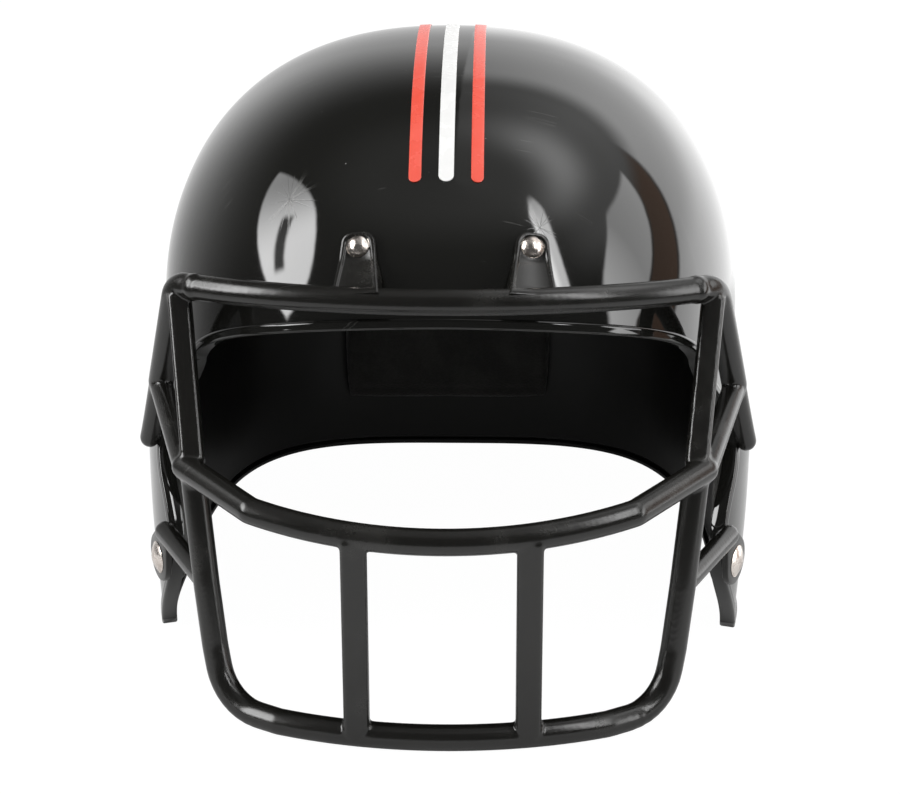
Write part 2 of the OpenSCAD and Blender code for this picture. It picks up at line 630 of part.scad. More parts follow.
module left_red_stripe() {
    stripe(red_x, red_w, "#ec5040");
}
module white_stripe() {
    stripe(0, white_w, "#f1f1ee");
}
module right_red_stripe() {
    mirror([1, 0, 0]) left_red_stripe();
}

shell();
face_guard();
brow_rivets();
jaw_rivets();
brow_rivet_washers();
jaw_rivet_washers();
brow_pad();
crown_pad();
nape_pad();
left_side_pad();
right_side_pad();
left_jaw_pad();
right_jaw_pad();
left_red_stripe();
white_stripe();
right_red_stripe();
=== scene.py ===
import math

import bmesh
import bpy
import numpy as np
from mathutils import Euler, Matrix, Vector


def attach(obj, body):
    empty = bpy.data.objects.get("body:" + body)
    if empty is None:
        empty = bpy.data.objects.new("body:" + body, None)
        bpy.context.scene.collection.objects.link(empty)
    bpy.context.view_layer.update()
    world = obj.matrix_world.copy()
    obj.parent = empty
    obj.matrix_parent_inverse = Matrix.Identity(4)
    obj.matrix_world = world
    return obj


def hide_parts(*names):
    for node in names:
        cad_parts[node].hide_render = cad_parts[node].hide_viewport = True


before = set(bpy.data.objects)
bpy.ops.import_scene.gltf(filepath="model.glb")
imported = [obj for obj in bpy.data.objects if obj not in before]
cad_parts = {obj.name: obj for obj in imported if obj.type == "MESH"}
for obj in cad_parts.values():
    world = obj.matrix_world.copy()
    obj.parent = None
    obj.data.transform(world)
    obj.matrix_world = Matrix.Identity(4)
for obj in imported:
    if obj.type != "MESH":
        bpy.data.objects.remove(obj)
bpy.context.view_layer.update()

MM = 0.001

# Sizes of the shell, in millimetres, as the part was made
HALF_WIDTH, HALF_LENGTH, SHELL_Y = 115.0, 143.0, 27.0
TEMPLE_Z, DOME_RISE, DOME_POWER = 115.0, 106.0, 2.37
CROWN_POWER, JAW_POWER, NAPE_POWER = 2.3, 3.0, 3.4
EAR_BULGE, NAPE_DRAW = 8.0, 11.0
WALL = 3.0
BROW_Z, BROW_POWER = 150.0, 1.75
CORNER_Y, CORNER_Z = -61.0, 118.0
NOTCH_Y, NOTCH_Z = -47.0, 88.0
NOSE_Y, NOSE_Z = -71.0, 44.0
TIP_Y = -44.0
RIM_W, RIM_H, RIM_DEPTH = 4.0, 1.1, 5.0
SHELL_CREASE = 42
EAR_Y, EAR_Z, EAR_R = 20.0, 66.0, 12.0

# Sizes of the guard and its rivets
BAR_D, LINK_D = 9.8, 8.0
BAR_R = BAR_D / 2
TOP_BAR_Z, MID_BAR_Z = 158.5, 85.5
TOP_BAR_REACH, MID_BAR_REACH, LOW_BAR_REACH = 120.0, 166.2, 155.5
TOP_BOW_R, TOP_BOW_DROP, LOWER_BOW_R = 154.0, 0.13, 155.0
POST_X, POST_W = 31.0, 9.4
UPRIGHT_W, UPRIGHT_DEPTH = 8.4, 7.0
LUG_T, BROW_LUG_W, BROW_LUG_HEAD_W = 3.0, 17.5, 12.5
LUG_BORDER, LUG_RECESS, LUG_LEAN = 1.6, 0.8, 2.0
JAW_LUG_T, JAW_LUG_R = 2.5, 9.5
SEAT = 0.2
BROW_RIVET_X, BROW_RIVET_REACH = 31.0, 97.5
JAW_RIVET_Y, JAW_RIVET_Z = -67.5, 39.0
BROW_HEAD_D, JAW_HEAD_D, SHANK_D = 8.6, 12.5, 4.0
BROW_UNDER, JAW_UNDER = 0.9, 0.65
WASHER_T, BROW_WASHER_RIM, JAW_WASHER_RIM = 1.0, 3.0, 1.4

# Sizes of the pads and stripes
PAD_GAP = 0.3
RED_W, WHITE_W, RED_X, STRIPE_T, STRIPE_SEAT = 4.6, 5.6, 11.4, 0.3, 0.3


# Shell form
def smooth_step(t):
    t = np.clip(t, 0.0, 1.0)
    return t * t * (3 - 2 * t)


def plan_power(z, end):
    """Power of the plan's superellipse at height z, towards the nape (end over 0) or the jaw."""
    low = np.where(np.asarray(end) > 0, NAPE_POWER, JAW_POWER)
    return CROWN_POWER + (low - CROWN_POWER) * smooth_step((TEMPLE_Z + 15 - z) / (TEMPLE_Z - 20))


def dome_share(z, d=0.0):
    """Share of the plan's size that is left at height z."""
    rise = np.clip((z - TEMPLE_Z) / (DOME_RISE - d), 0.0, 1.0)
    return (1 - rise ** DOME_POWER) ** (1 / DOME_POWER)


def width_at(s, z):
    """Half width at height z, wider at the ears and drawn in at the nape; s is the sine of the plan angle."""
    t = np.maximum(0.0, (TEMPLE_Z - z) / TEMPLE_Z)
    rear = 0.5 + 0.5 * s
    bulge = EAR_BULGE * smooth_step(2.4 * t) * (1 - t * t / 2) * smooth_step(2.05 - 3 * rear)
    return HALF_WIDTH + bulge - NAPE_DRAW * t * t * rear ** 1.3 * smooth_step(3 * rear - 0.6)


def signed_pow(v, p):
    return np.sign(v) * np.abs(v) ** p


def shell_point(b, z, d=0.0):
    """Point of the shell's wall at plan angle b (degrees, -90 is the front), height z and depth d."""
    b, z = np.broadcast_arrays(np.radians(np.asarray(b, float)), np.asarray(z, float))
    m, g = plan_power(z, b), dome_share(z)
    return np.stack([(width_at(np.sin(b), z) - d) * g * signed_pow(np.cos(b), 2 / m),
                     SHELL_Y + (HALF_LENGTH - d) * g * signed_pow(np.sin(b), 2 / m),
                     z - d * np.maximum(0.0, z - TEMPLE_Z) / DOME_RISE], -1)


def angle_at(y, z):
    """Plan angle of the wall at y and height z, in degrees."""
    q = np.clip((y - SHELL_Y) / (HALF_LENGTH * dome_share(z)), -1, 1)
    return np.degrees(np.arcsin(signed_pow(q, plan_power(z, q) / 2)))


def surface_normal(b, z):
    e = 0.25
    b = np.clip(b, -89.7, 89.7)
    n = np.cross(shell_point(b + e, z) - shell_point(b - e, z), shell_point(b, z + e) - shell_point(b, z - e))
    return n / np.linalg.norm(n, axis=-1, keepdims=True)


def inward(b, z, d):
    """Point at depth d behind the outside, square to the wall."""
    return shell_point(b, z) - surface_normal(b, z) * np.asarray(d)[..., None]


def top_z(x, y, d=0.0):
    """Height of the dome over x, y at depth d."""
    m = CROWN_POWER
    g = ((np.abs(x) / (HALF_WIDTH - d)) ** m + (np.abs(y - SHELL_Y) / (HALF_LENGTH - d)) ** m) ** (1 / m)
    return TEMPLE_Z + (DOME_RISE - d) * np.maximum(0.0, 1 - g ** DOME_POWER) ** (1 / DOME_POWER)


def nape_y(x, z, d=0.0):
    """Place of the rear wall at x, height z and depth d."""
    m = plan_power(z, 1)
    q = np.minimum(1.0, np.abs(x) / (width_at(0.9, z) - d))
    return SHELL_Y + (HALF_LENGTH - d) * dome_share(z, d) * (1 - q ** m) ** (1 / m)


def bezier(p, t):
    p, t = np.asarray(p, float), np.asarray(t, float)[..., None]
    return (1 - t) ** 3 * p[0] + 3 * t * (1 - t) ** 2 * p[1] + 3 * t * t * (1 - t) * p[2] + t ** 3 * p[3]


# Mesh helpers
def new_piece(name, points, faces, slot=None, stands_for=(), crease=None):
    """A mesh piece from points in millimetres, riding with the helmet."""
    mesh = bpy.data.meshes.new(name)
    mesh.from_pydata([tuple(p) for p in np.asarray(points) * MM], [], faces)
    mesh.validate()
    mesh.shade_smooth()
    if crease:
        mesh.set_sharp_from_angle(angle=math.radians(crease))
    piece = bpy.data.objects.new(name, mesh)
    bpy.context.scene.collection.objects.link(piece)
    return settle(piece, slot, stands_for)


def settle(piece, slot, stands_for):
    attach(piece, "root")
    if stands_for:
        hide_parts(*stands_for)
    return piece


def outward(piece):
    """Turns every face of a closed piece outward."""
    work = bmesh.new()
    work.from_mesh(piece.data)
    bmesh.ops.recalc_face_normals(work, faces=work.faces)
    work.to_mesh(piece.data)
    work.free()
    return piece


def sweep(path, profile, up=(0, 0, 1), scale=None):
    """Points and faces of a profile carried along a path, ends closed. Its x is sideways, its y is up."""
    path = np.asarray(path, float)
    profile = np.asarray(profile, float)
    tangent = np.gradient(path, axis=0)
    tangent /= np.linalg.norm(tangent, axis=1, keepdims=True)
    across = np.cross(np.asarray(up, float), tangent)
    across /= np.linalg.norm(across, axis=1, keepdims=True)
    lift = np.cross(tangent, across)
    size = np.ones(len(path)) if scale is None else np.asarray(scale, float)
    points = (path[:, None] + size[:, None, None] * (profile[None, :, :1] * across[:, None]
              + profile[None, :, 1:] * lift[:, None])).reshape(-1, 3)
    n, m = len(path), len(profile)
    faces = [(i * m + k, i * m + (k + 1) % m, (i + 1) * m + (k + 1) % m, (i + 1) * m + k)
             for i in range(n - 1) for k in range(m)]
    faces += [tuple(range(m - 1, -1, -1)), tuple((n - 1) * m + k for k in range(m))]
    return points, faces


def round_profile(d, n=28):
    a = np.linspace(0, 2 * math.pi, n, endpoint=False)
    return np.stack([np.cos(a), np.sin(a)], 1) * d / 2


def soft_section(w, h, cut, n=5):
    """Section of a moulded bar: w wide, h deep, with rounded corners of size cut."""
    corners = [(w / 2 - cut, h / 2 - cut, 0), (cut - w / 2, h / 2 - cut, 90),
               (cut - w / 2, cut - h / 2, 180), (w / 2 - cut, cut - h / 2, 270)]
    turns = [(x, y, math.radians(a + 90 * k / n)) for x, y, a in corners for k in range(n + 1)]
    return np.array([(x + cut * math.cos(t), y + cut * math.sin(t)) for x, y, t in turns])


def join(parts):
    points, faces, base = [], [], 0
    for p, f in parts:
        points.append(p)
        faces += [tuple(i + base for i in face) for face in f]
        base += len(p)
    return np.concatenate(points), faces


def mirrored(part):
    p, f = part
    return p * np.array([-1, 1, 1]), [tuple(reversed(face)) for face in f]


def lathe(profile, n=64):
    """Points and faces of a profile of (radius, height) turned about +Z, closed on the axis."""
    a = np.linspace(0, 2 * math.pi, n, endpoint=False)
    profile = np.asarray(profile, float)
    points = [np.stack([r * np.cos(a), r * np.sin(a), np.full(n, h)], 1) for r, h in profile]
    faces = [(i * n + k, i * n + (k + 1) % n, (i + 1) * n + (k + 1) % n, (i + 1) * n + k)
             for i in range(len(profile) - 1) for k in range(n)]
    faces += [tuple(range(n - 1, -1, -1)), tuple((len(profile) - 1) * n + k for k in range(n))]
    return np.concatenate(points), faces


def in_frame(part, origin, side, up, out):
    """A part drawn in a local frame, put at origin with its x, y and z along side, up and out."""
    points, faces = part
    return origin + points @ np.array([side, up, out]), faces


def unit(v):
    v = np.asarray(v, float)
    return v / np.linalg.norm(v)


def up_wall(n):
    return unit([0, n[2], -n[1]]) if abs(n[0]) < 0.6 else unit(np.array([0, 0, 1]) - n[2] * n)


def wall_frame(b, z):
    n = surface_normal(b, z)
    up = up_wall(n)
    return shell_point(b, z), np.cross(up, n), up, n


BROW_RIVET_HEIGHT = float(top_z(BROW_RIVET_X, -BROW_RIVET_REACH))
BROW_FRAME = wall_frame(angle_at(-BROW_RIVET_REACH, BROW_RIVET_HEIGHT), BROW_RIVET_HEIGHT)
JAW_FRAME = wall_frame(angle_at(JAW_RIVET_Y, JAW_RIVET_Z), JAW_RIVET_Z)


# Finishes
class Flow:
    """A shader value: sums and products on it add the Math nodes."""

    def __init__(self, finish, socket):
        self.finish, self.socket = finish, socket

    def __add__(self, other):
        return self.finish.math("ADD", self, other)

    __radd__ = __add__

    def __sub__(self, other):
        return self.finish.math("SUBTRACT", self, other)

    def __rsub__(self, other):
        return self.finish.math("SUBTRACT", other, self)

    def __mul__(self, other):
        return self.finish.math("MULTIPLY", self, other)

    __rmul__ = __mul__

    def __truediv__(self, other):
        return self.finish.math("DIVIDE", self, other)

    def size(self):
        return self.finish.math("ABSOLUTE", self)

    def at_least(self, low):
        return self.finish.math("MAXIMUM", self, low)

    def above(self, edge, soft):
        """0 below edge and 1 above it, over a soft width."""
        return self.finish.node("ShaderNodeMapRange", {"interpolation_type": "SMOOTHSTEP"},
                                {"Value": self, "From Min": edge - soft, "From Max": edge + soft})

    def below(self, edge, soft):
        return 1 - self.above(edge, soft)


class Finish:
    """A material, or the studio round the helmet, built node by node."""

    def __init__(self, tree):
        self.tree = tree
        tree.nodes.clear()

    def node(self, kind, settings=None, sockets=None, out=0):
        made = self.tree.nodes.new(kind)
        for key, value in (settings or {}).items():
            setattr(made, key, value)
        for key, value in (sockets or {}).items():
            if isinstance(value, Flow):
                self.tree.links.new(value.socket, made.inputs[key])
            else:
                made.inputs[key].default_value = value
        return Flow(self, made.outputs[out]) if len(made.outputs) else made

    def math(self, operation, *values):
        return self.node("ShaderNodeMath", {"operation": operation}, dict(enumerate(values)))

    def place(self, stretch=(1, 1, 1), turn=(0, 0, 0)):
        """Object coordinates in metres, stretched and turned."""
        where = self.node("ShaderNodeTexCoord", out="Object")
        return self.node("ShaderNodeMapping", None, {"Vector": where, "Scale": stretch, "Rotation": turn})

    def noise(self, where, scale, detail=4.0, rough=0.5):
        return self.node("ShaderNodeTexNoise", None,
                         {"Vector": where, "Scale": scale, "Detail": detail, "Roughness": rough})

    def cells(self, scale):
        """Distance from the middle of the nearest cell."""
        return self.node("ShaderNodeTexVoronoi", {"feature": "F1"}, {"Vector": self.place(), "Scale": scale},
                         out="Distance")

    def length(self, vector):
        return self.node("ShaderNodeVectorMath", {"operation": "LENGTH"}, {0: vector}, out=1)

    def rays(self):
        """Shares of the camera's rays and of the mirrored rays."""
        path = self.tree.nodes.new("ShaderNodeLightPath")
        return Flow(self, path.outputs["Is Camera Ray"]), Flow(self, path.outputs["Is Glossy Ray"])

    def tint(self, share, low, high):
        """Colour from low to high by share."""
        return self.node("ShaderNodeMix", {"data_type": "RGBA"},
                         {0: share, 6: (*low, 1), 7: (*high, 1)}, out=2)

    def bump(self, height, strength, distance):
        return self.node("ShaderNodeBump", None,
                         {"Height": height, "Strength": strength, "Distance": distance})


def material(name, build):
    made = bpy.data.materials.new(name)
    made.use_nodes = True
    finish = Finish(made.node_tree)
    shader = build(finish)
    finish.node("ShaderNodeOutputMaterial", None, {"Surface": shader})
    return made


def fine_scratches(f, turn, reach=1.0):
    """Straight hairlines: rare peaks of a noise that varies along one direction, in short strokes."""
    lines = f.noise(f.place((4, 520 * reach, 4), turn), 1.0, 1.0, 0.4)
    line = 1 - (lines - 0.68).size() * 50
    stroke = f.noise(f.place((1, 1, 1), turn), 70.0 * reach, 1.0).above(0.66, 0.06)
    return line.at_least(0.0) * stroke


def star_mark(f, centre, normal, reach):
    """Hairlines that run out from a knock in the polish. centre and reach are in millimetres."""
    normal = unit(np.array(normal))
    right = unit(np.cross(normal, [0, 0, 1]))
    where = f.node("ShaderNodeVectorMath", {"operation": "SUBTRACT"},
                   {0: f.node("ShaderNodeTexCoord", out="Object"), 1: tuple(v * MM for v in centre)})
    across, up = (f.node("ShaderNodeVectorMath", {"operation": "DOT_PRODUCT"}, {0: where, 1: tuple(v)}, out=1)
                  for v in (right, np.cross(normal, right)))
    away = f.length(where) * 1000
    turn = f.math("ARCTAN2", up, across)
    spread = f.node("ShaderNodeTexNoise", {"noise_dimensions": "1D"},
                    {"W": turn * 1.5 + centre[0], "Scale": 1.0, "Detail": 1.0})
    line = 1 - (spread - 0.5).size() * (away + 0.5) * 7
    return line.at_least(0.0) * away.below(reach * 0.55, reach * 0.5)


# Knocks in the polish of the dome: place, outward direction, reach and strength
DOME_KNOCKS = (((-57.6, -74.2, 183.4), (-0.457, -0.577, 0.677), 14.0, 0.8),
               ((34.0, -91.5, 178.0), (0.25, -0.73, 0.63), 9.0, 0.4))


def black_gloss(f):
    """Injection-moulded black with a polish worn by handling, duller on the inner skin."""
    inner = f.node("ShaderNodeAttribute", {"attribute_name": "inner_skin"}, out="Fac")
    one, two = fine_scratches(f, (0.3, 0.2, 0.9)), fine_scratches(f, (1.1, 0.5, -0.6), 0.8)
    marks = f.math("MAXIMUM", one, two) * 0.4
    for centre, normal, reach, strength in DOME_KNOCKS:
        marks = marks + star_mark(f, centre, normal, reach) * strength
    marks = marks * (1 - inner)
    dust = f.cells(190.0)
    specks = dust.below(0.052, 0.022) * f.noise(f.place(), 420.0, 1.0).above(0.66, 0.03)
    haze = f.noise(f.place(), 24.0, 5.0, 0.6).above(0.56, 0.2)
    peel = f.noise(f.place(), 110.0, 2.0, 0.5)
    colour = f.tint((specks + marks * 0.45) * (1 - inner * 0.8), (0.009, 0.009, 0.008), (0.19, 0.19, 0.18))
    return f.node("ShaderNodeBsdfPrincipled", None, {
        "Base Color": colour, "Roughness": 0.032 + haze * 0.03 + marks * 0.25 + specks * 0.4 + inner * 0.3,
        "Normal": f.bump(peel * 0.6 - marks * 0.8, 0.2, 0.0001), "IOR": 1.5})


def black_satin(f):
    """Moulded guard: satin black with a fine grain and paler rubbed places."""
    grain = f.noise(f.place(), 900.0, 2.0, 0.6)
    wear = f.noise(f.place(), 38.0, 5.0, 0.62).above(0.62, 0.12)
    marks = fine_scratches(f, (0.8, 0.1, 0.4), 1.3) * 0.5
    colour = f.tint(wear * 0.3 + marks, (0.0078, 0.0075, 0.0065), (0.036, 0.035, 0.032))
    return f.node("ShaderNodeBsdfPrincipled", None, {
        "Base Color": colour, "Roughness": 0.2 + wear * 0.08 + grain * 0.06 + marks * 0.2,
        "Normal": f.bump(grain + marks * -1.0, 0.08, 0.0002), "IOR": 1.5})


def nickel(f):
    """Polished rivet heads, warm and lightly dulled."""
    tarnish = f.noise(f.place(), 320.0, 6.0, 0.65)
    colour = f.tint(tarnish.above(0.56, 0.15), (0.72, 0.665, 0.62), (0.5, 0.44, 0.4))
    return f.node("ShaderNodeBsdfPrincipled", None, {
        "Base Color": colour, "Metallic": 1.0, "Roughness": 0.2 + tarnish * 0.14,
        "Normal": f.bump(tarnish, 0.15, 0.0001)})


def dull_steel(f):
    tarnish = f.noise(f.place(), 260.0, 6.0, 0.7)
    colour = f.tint(tarnish.above(0.5, 0.2), (0.42, 0.41, 0.39), (0.27, 0.26, 0.25))
    return f.node("ShaderNodeBsdfPrincipled", None, {
        "Base Color": colour, "Metallic": 1.0, "Roughness": 0.32 + tarnish * 0.2,
        "Normal": f.bump(tarnish, 0.2, 0.0001)})


def foam_skin(f):
    """Dark foam with a fine open grain and a paler bloom on its edges."""
    pores = f.cells(900.0)
    bloom = f.noise(f.place(), 60.0, 5.0, 0.6)
    colour = f.tint(bloom.above(0.5, 0.2) * 0.6 + pores * 0.3, (0.024, 0.024, 0.022), (0.055, 0.054, 0.05))
    return f.node("ShaderNodeBsdfPrincipled", None, {
        "Base Color": colour, "Roughness": 0.78 + bloom * 0.15, "Normal": f.bump(pores, 0.5, 0.0005),
        "Sheen Weight": 0.25, "Sheen Roughness": 0.5})


def vinyl(low, high):
    def build(f):
        cloud = f.noise(f.place(), 85.0, 5.0, 0.6)
        marks = fine_scratches(f, (0.2, 0.3, 1.3), 1.2)
        colour = f.tint(cloud.above(0.5, 0.3) * 0.6 + marks * 0.4, low, high)
        return f.node("ShaderNodeBsdfPrincipled", None, {
            "Base Color": colour, "Roughness": 0.2 + cloud * 0.14 + marks * 0.2,
            "Normal": f.bump(f.noise(f.place(), 240.0, 3.0) - marks, 0.2, 0.0001)})
    return build


SHELL_BLACK = material("black gloss shell", black_gloss)
GUARD_BLACK = material("black satin guard", black_satin)
RIVET_NICKEL = material("nickel rivets", nickel)
WASHER_STEEL = material("dull steel washers", dull_steel)
FOAM_DARK = material("dark foam skin", foam_skin)
STRIPE_RED = material("red vinyl", vinyl((0.80, 0.082, 0.048), (0.86, 0.13, 0.09)))
STRIPE_WHITE = material("white vinyl", vinyl((0.80, 0.80, 0.79), (0.9, 0.9, 0.89)))


# Shell
def opening_edge(steps):
    """The opening's edge down one side as (y, z) points, from the corner of the brow to the flap's tip."""
    curves = [[[CORNER_Y, CORNER_Z], [CORNER_Y + 5, CORNER_Z - 10],
               [NOTCH_Y, NOTCH_Z + 11], [NOTCH_Y, NOTCH_Z]],
              [[NOTCH_Y, NOTCH_Z], [NOTCH_Y, NOTCH_Z - 14], [NOSE_Y, NOSE_Z + 22], [NOSE_Y, NOSE_Z]],
              [[NOSE_Y, NOSE_Z], [NOSE_Y, NOSE_Z - 14], [TIP_Y, RIM_W + 4], [TIP_Y, RIM_W]]]
    return np.concatenate([[[CORNER_Y, CORNER_Z]]] + [bezier(c, np.arange(1, n + 1) / n)
                                                     for c, n in zip(curves, steps)])


def shell_chart(brow_n, side_n, dome_n, edge):
    """Plan angle and height of every column and row of the +X half. Rows run from the crown down to the brow
    and on over the skirt, where the columns of the brow are left out."""
    corner_b = float(angle_at(CORNER_Y, CORNER_Z))
    chart = np.zeros((brow_n + side_n + 1, dome_n + len(edge), 2))
    u = np.arange(brow_n + 1) / brow_n
    end_b = np.concatenate([-90 + (corner_b + 90) * np.sin(u * np.pi / 2) ** (2 / BROW_POWER),
                            corner_b + (90 - corner_b) * np.arange(1, side_n + 1) / side_n])
    brow = np.cos(u * np.pi / 2).clip(0) ** (2 / BROW_POWER)
    end_z = np.concatenate([CORNER_Z + (BROW_Z - CORNER_Z) * brow, np.full(side_n, CORNER_Z)])
    start = np.arcsin(((end_z - TEMPLE_Z) / DOME_RISE) ** (DOME_POWER / 2))
    for r in range(dome_n + 1):
        chart[:, r, 0] = end_b
        climb = np.pi / 2 + (start - np.pi / 2) * r / dome_n
        chart[:, r, 1] = TEMPLE_Z + DOME_RISE * np.sin(climb) ** (2 / DOME_POWER)
    side_u = np.arange(side_n + 1) / side_n
    for r, (y, z) in enumerate(edge[1:], dome_n + 1):
        b = float(angle_at(y, z))
        chart[brow_n:, r, 0] = b + (90 - b) * side_u
        chart[brow_n:, r, 1] = z
    return chart


def rim_rows(edge, normal):
    """Rows of points of the rolled rim that runs past the edge, from the outer skin round to the inner."""
    tangent = np.roll(edge, -1, 0) - np.roll(edge, 1, 0)
    tangent /= np.linalg.norm(tangent, axis=1, keepdims=True)
    past = np.cross(tangent, normal)
    past /= np.linalg.norm(past, axis=1, keepdims=True)
    profile = [(0.25, 0.12), (0.75, 0.32), (RIM_H, 0.75), (RIM_H, 1.5), (RIM_H - 0.12, RIM_W / 2),
               (RIM_H, RIM_W - 1.2), (RIM_H - 0.05, RIM_W - 0.6), (RIM_H - 0.35, RIM_W - 0.15),
               (RIM_H - 0.8, RIM_W), (-RIM_DEPTH + 0.8, RIM_W),
               (-RIM_DEPTH + 0.25, RIM_W - 0.2), (-RIM_DEPTH, RIM_W - 0.75), (-RIM_DEPTH, RIM_W - 2.0),
               (-RIM_DEPTH + 0.4, RIM_W - 2.5), (-WALL - 0.3, RIM_W - 2.9)]
    return [edge + h * normal + w * past for h, w in profile]


def shell_piece():
    """The shell as two skins joined by the rolled rim, finer than the solid it stands for."""
    fine = 1.0
    brow_n, side_n, dome_n = int(48 * fine), int(110 * fine), int(64 * fine)
    edge = opening_edge([int(22 * fine), int(34 * fine), int(34 * fine)])
    rows = dome_n + len(edge) - 1
    half = brow_n + side_n
    cols = 2 * half
    left = cols - brow_n
    chart = shell_chart(brow_n, side_n, dome_n, edge)
    skins = [shell_point(chart[..., 0], chart[..., 1], d) for d in (0.0, WALL)]
    normals = surface_normal(chart[..., 0], chart[..., 1])
    normals[[0, -1], :, 0] = 0
    normals /= np.linalg.norm(normals, axis=-1, keepdims=True)

    def grid(layer, c, r):
        """Value of a layer at any column; those past the middle mirror the first half."""
        return layer[c, r] if c <= half else layer[cols - c, r] * np.array([-1, 1, 1])

    points, index = [np.array([0, SHELL_Y, TEMPLE_Z + DOME_RISE - d]) for d in (0, WALL)], {}

    def at(skin, c, r):
        c %= cols
        if (skin, c, r) not in index:
            index[skin, c, r] = len(points)
            points.append(grid(skins[skin], c, r))
        return index[skin, c, r]

    faces = []
    for c in range(cols):
        faces.append((0, at(0, c + 1, 1), at(0, c, 1)))
        faces.append((1, at(1, c, 1), at(1, c + 1, 1)))
        for r in range(1, rows):
            if r >= dome_n and not brow_n <= c < left:
                continue
            faces.append((at(0, c, r), at(0, c + 1, r), at(0, c + 1, r + 1), at(0, c, r + 1)))
            faces.append((at(1, c, r + 1), at(1, c + 1, r + 1), at(1, c + 1, r), at(1, c, r)))
    # Once round the opening and the neck
    walk = [(c, dome_n) for c in range(brow_n + 1)]
    walk += [(brow_n, r) for r in range(dome_n + 1, rows + 1)]
    walk += [(c, rows) for c in range(brow_n + 1, left + 1)]
    walk += [(left, r) for r in range(rows - 1, dome_n - 1, -1)]
    walk += [(c, dome_n) for c in range(left + 1, cols)]
    loops = [[at(0, c, r) for c, r in walk]]
    for row in rim_rows(*(np.array([grid(layer, c, r) for c, r in walk]) for layer in (skins[0], normals))):
        loops.append(range(len(points), len(points) + len(walk)))
        points.extend(row)
    loops.append([at(1, c, r) for c, r in walk])
    around = [(j, (j + 1) % len(walk)) for j in range(len(walk))]
    for one, two in zip(loops, loops[1:]):
        faces += [(one[j], one[k], two[k], two[j]) for j, k in around]
    shell = new_piece("shell_skin", points, faces, "shell_black", ("shell",), crease=SHELL_CREASE)
    # The finish is duller on the inner skin
    dull = np.zeros(len(points))
    dull[[1] + [k for (skin, _, _), k in index.items() if skin == 1]] = 1.0
    shell.data.attributes.new("inner_skin", "FLOAT", "POINT").data.foreach_set("value", dull)
    ear_holes(shell)
    shell.data.materials.append(SHELL_BLACK)
    return shell


def ear_holes(shell):
    """Round holes through both sides, cut by one bar across the helmet."""
    work = bmesh.new()
    across = Matrix.Translation((0, EAR_Y * MM, EAR_Z * MM)) @ Matrix.Rotation(math.pi / 2, 4, "Y")
    bmesh.ops.create_cone(work, cap_ends=True, segments=72, radius1=EAR_R * MM, radius2=EAR_R * MM,
                          depth=3 * HALF_WIDTH * MM, matrix=across)
    mesh = bpy.data.meshes.new("ear_cutter")
    work.to_mesh(mesh)
    work.free()
    cutter = bpy.data.objects.new("ear_cutter", mesh)
    bpy.context.scene.collection.objects.link(cutter)
    cut = shell.modifiers.new("ears", "BOOLEAN")
    cut.operation, cut.solver, cut.object = "DIFFERENCE", "EXACT", cutter
    done = bpy.data.meshes.new_from_object(shell.evaluated_get(bpy.context.evaluated_depsgraph_get()))
    shell.modifiers.clear()
    shell.data = done
    bpy.data.objects.remove(cutter)
    bpy.data.meshes.remove(mesh)
    done.shade_smooth()
    done.set_sharp_from_angle(angle=math.radians(SHELL_CREASE))


# Face guard
def arc3(a, m, n=24):
    """Bow from a through the middle point m to a's mirror image."""
    a, m = np.asarray(a, float), np.asarray(m, float)
    back = np.array([0, a[1] - m[1], a[2] - m[2]])
    h = np.linalg.norm(back)
    r = (a[0] ** 2 + h * h) / (2 * h)
    out = -back / h
    t = np.linspace(1, -1, n) * math.asin(a[0] / r)
    return m - out * r + r * (np.sin(t)[:, None] * np.array([1, 0, 0]) + np.cos(t)[:, None] * out)


def rounded(points, radii, n=9):
    """Path through points with each inner corner turned at its radius."""
    points = [np.asarray(p, float) for p in points]
    out = [points[0]]
    for a, p, c, r in zip(points, points[1:], points[2:], radii):
        u, w = unit(a - p), unit(c - p)
        turn = math.pi - math.acos(np.clip(u @ w, -1, 1))
        cut = r * math.tan(turn / 2)
        centre = p + unit(u + w) * r / math.cos(turn / 2)
        first = unit(p + u * cut - centre)
        axis = unit(np.cross(w, u))
        side = np.cross(axis, first)
        out += [centre + r * (first * math.cos(t) + side * math.sin(t)) for t in np.linspace(0, turn, n)]
    return np.array(out + [points[-1]])


def densify(path, step=2.0):
    path = np.asarray(path, float)
    out = []
    for a, b in zip(path, path[1:]):
        n = max(1, int(np.linalg.norm(b - a) / step))
        out += [a + (b - a) * i / n for i in range(n)]
    return np.array(out + [path[-1]])


TOP_END = [91.5, -90, TOP_BAR_Z - 4]
ELBOW = [99.5, -82.5, TOP_BAR_Z - 5]
ARM_MID, ARM_END = [109.2, -62, 107.5], [115.3, -52, 82]
MID_CORNER, MID_SIDE = [68, -150, MID_BAR_Z + 5], [95, -113, MID_BAR_Z + 7.5]
LOW_Z = (BAR_D + 0.3) / 2
LOW_BOW, LOW_CORNER, LOW_SIDE = [60, -143.2, LOW_Z], [80.5, -129.5, LOW_Z], [84.6, -124.3, 27]
LINK_END, LOW_TOP = [87.5, -120.9, 50.5], [91.8, -114, MID_BAR_Z + 5]
UPRIGHT_TOP, UPRIGHT_FOOT = [98.2, -85, TOP_BAR_Z - 8.5], [91.8, -113, MID_BAR_Z + 8.5]
BALL_AT = (-7.0, 13.0)
LUG_BASE = RIM_H + 0.3
JAW_P, JAW_SIDE, JAW_UP, JAW_OUT = JAW_FRAME
LINK_BALL = JAW_P + BALL_AT[0] * JAW_SIDE + BALL_AT[1] * JAW_UP + (LUG_BASE + JAW_LUG_T / 2) * JAW_OUT


def ball(p, d):
    rows = [(math.sin(t) * d / 2, -math.cos(t) * d / 2) for t in np.linspace(0.12, math.pi - 0.12, 12)]
    points, faces = lathe(rows, 24)
    return points + np.asarray(p), faces


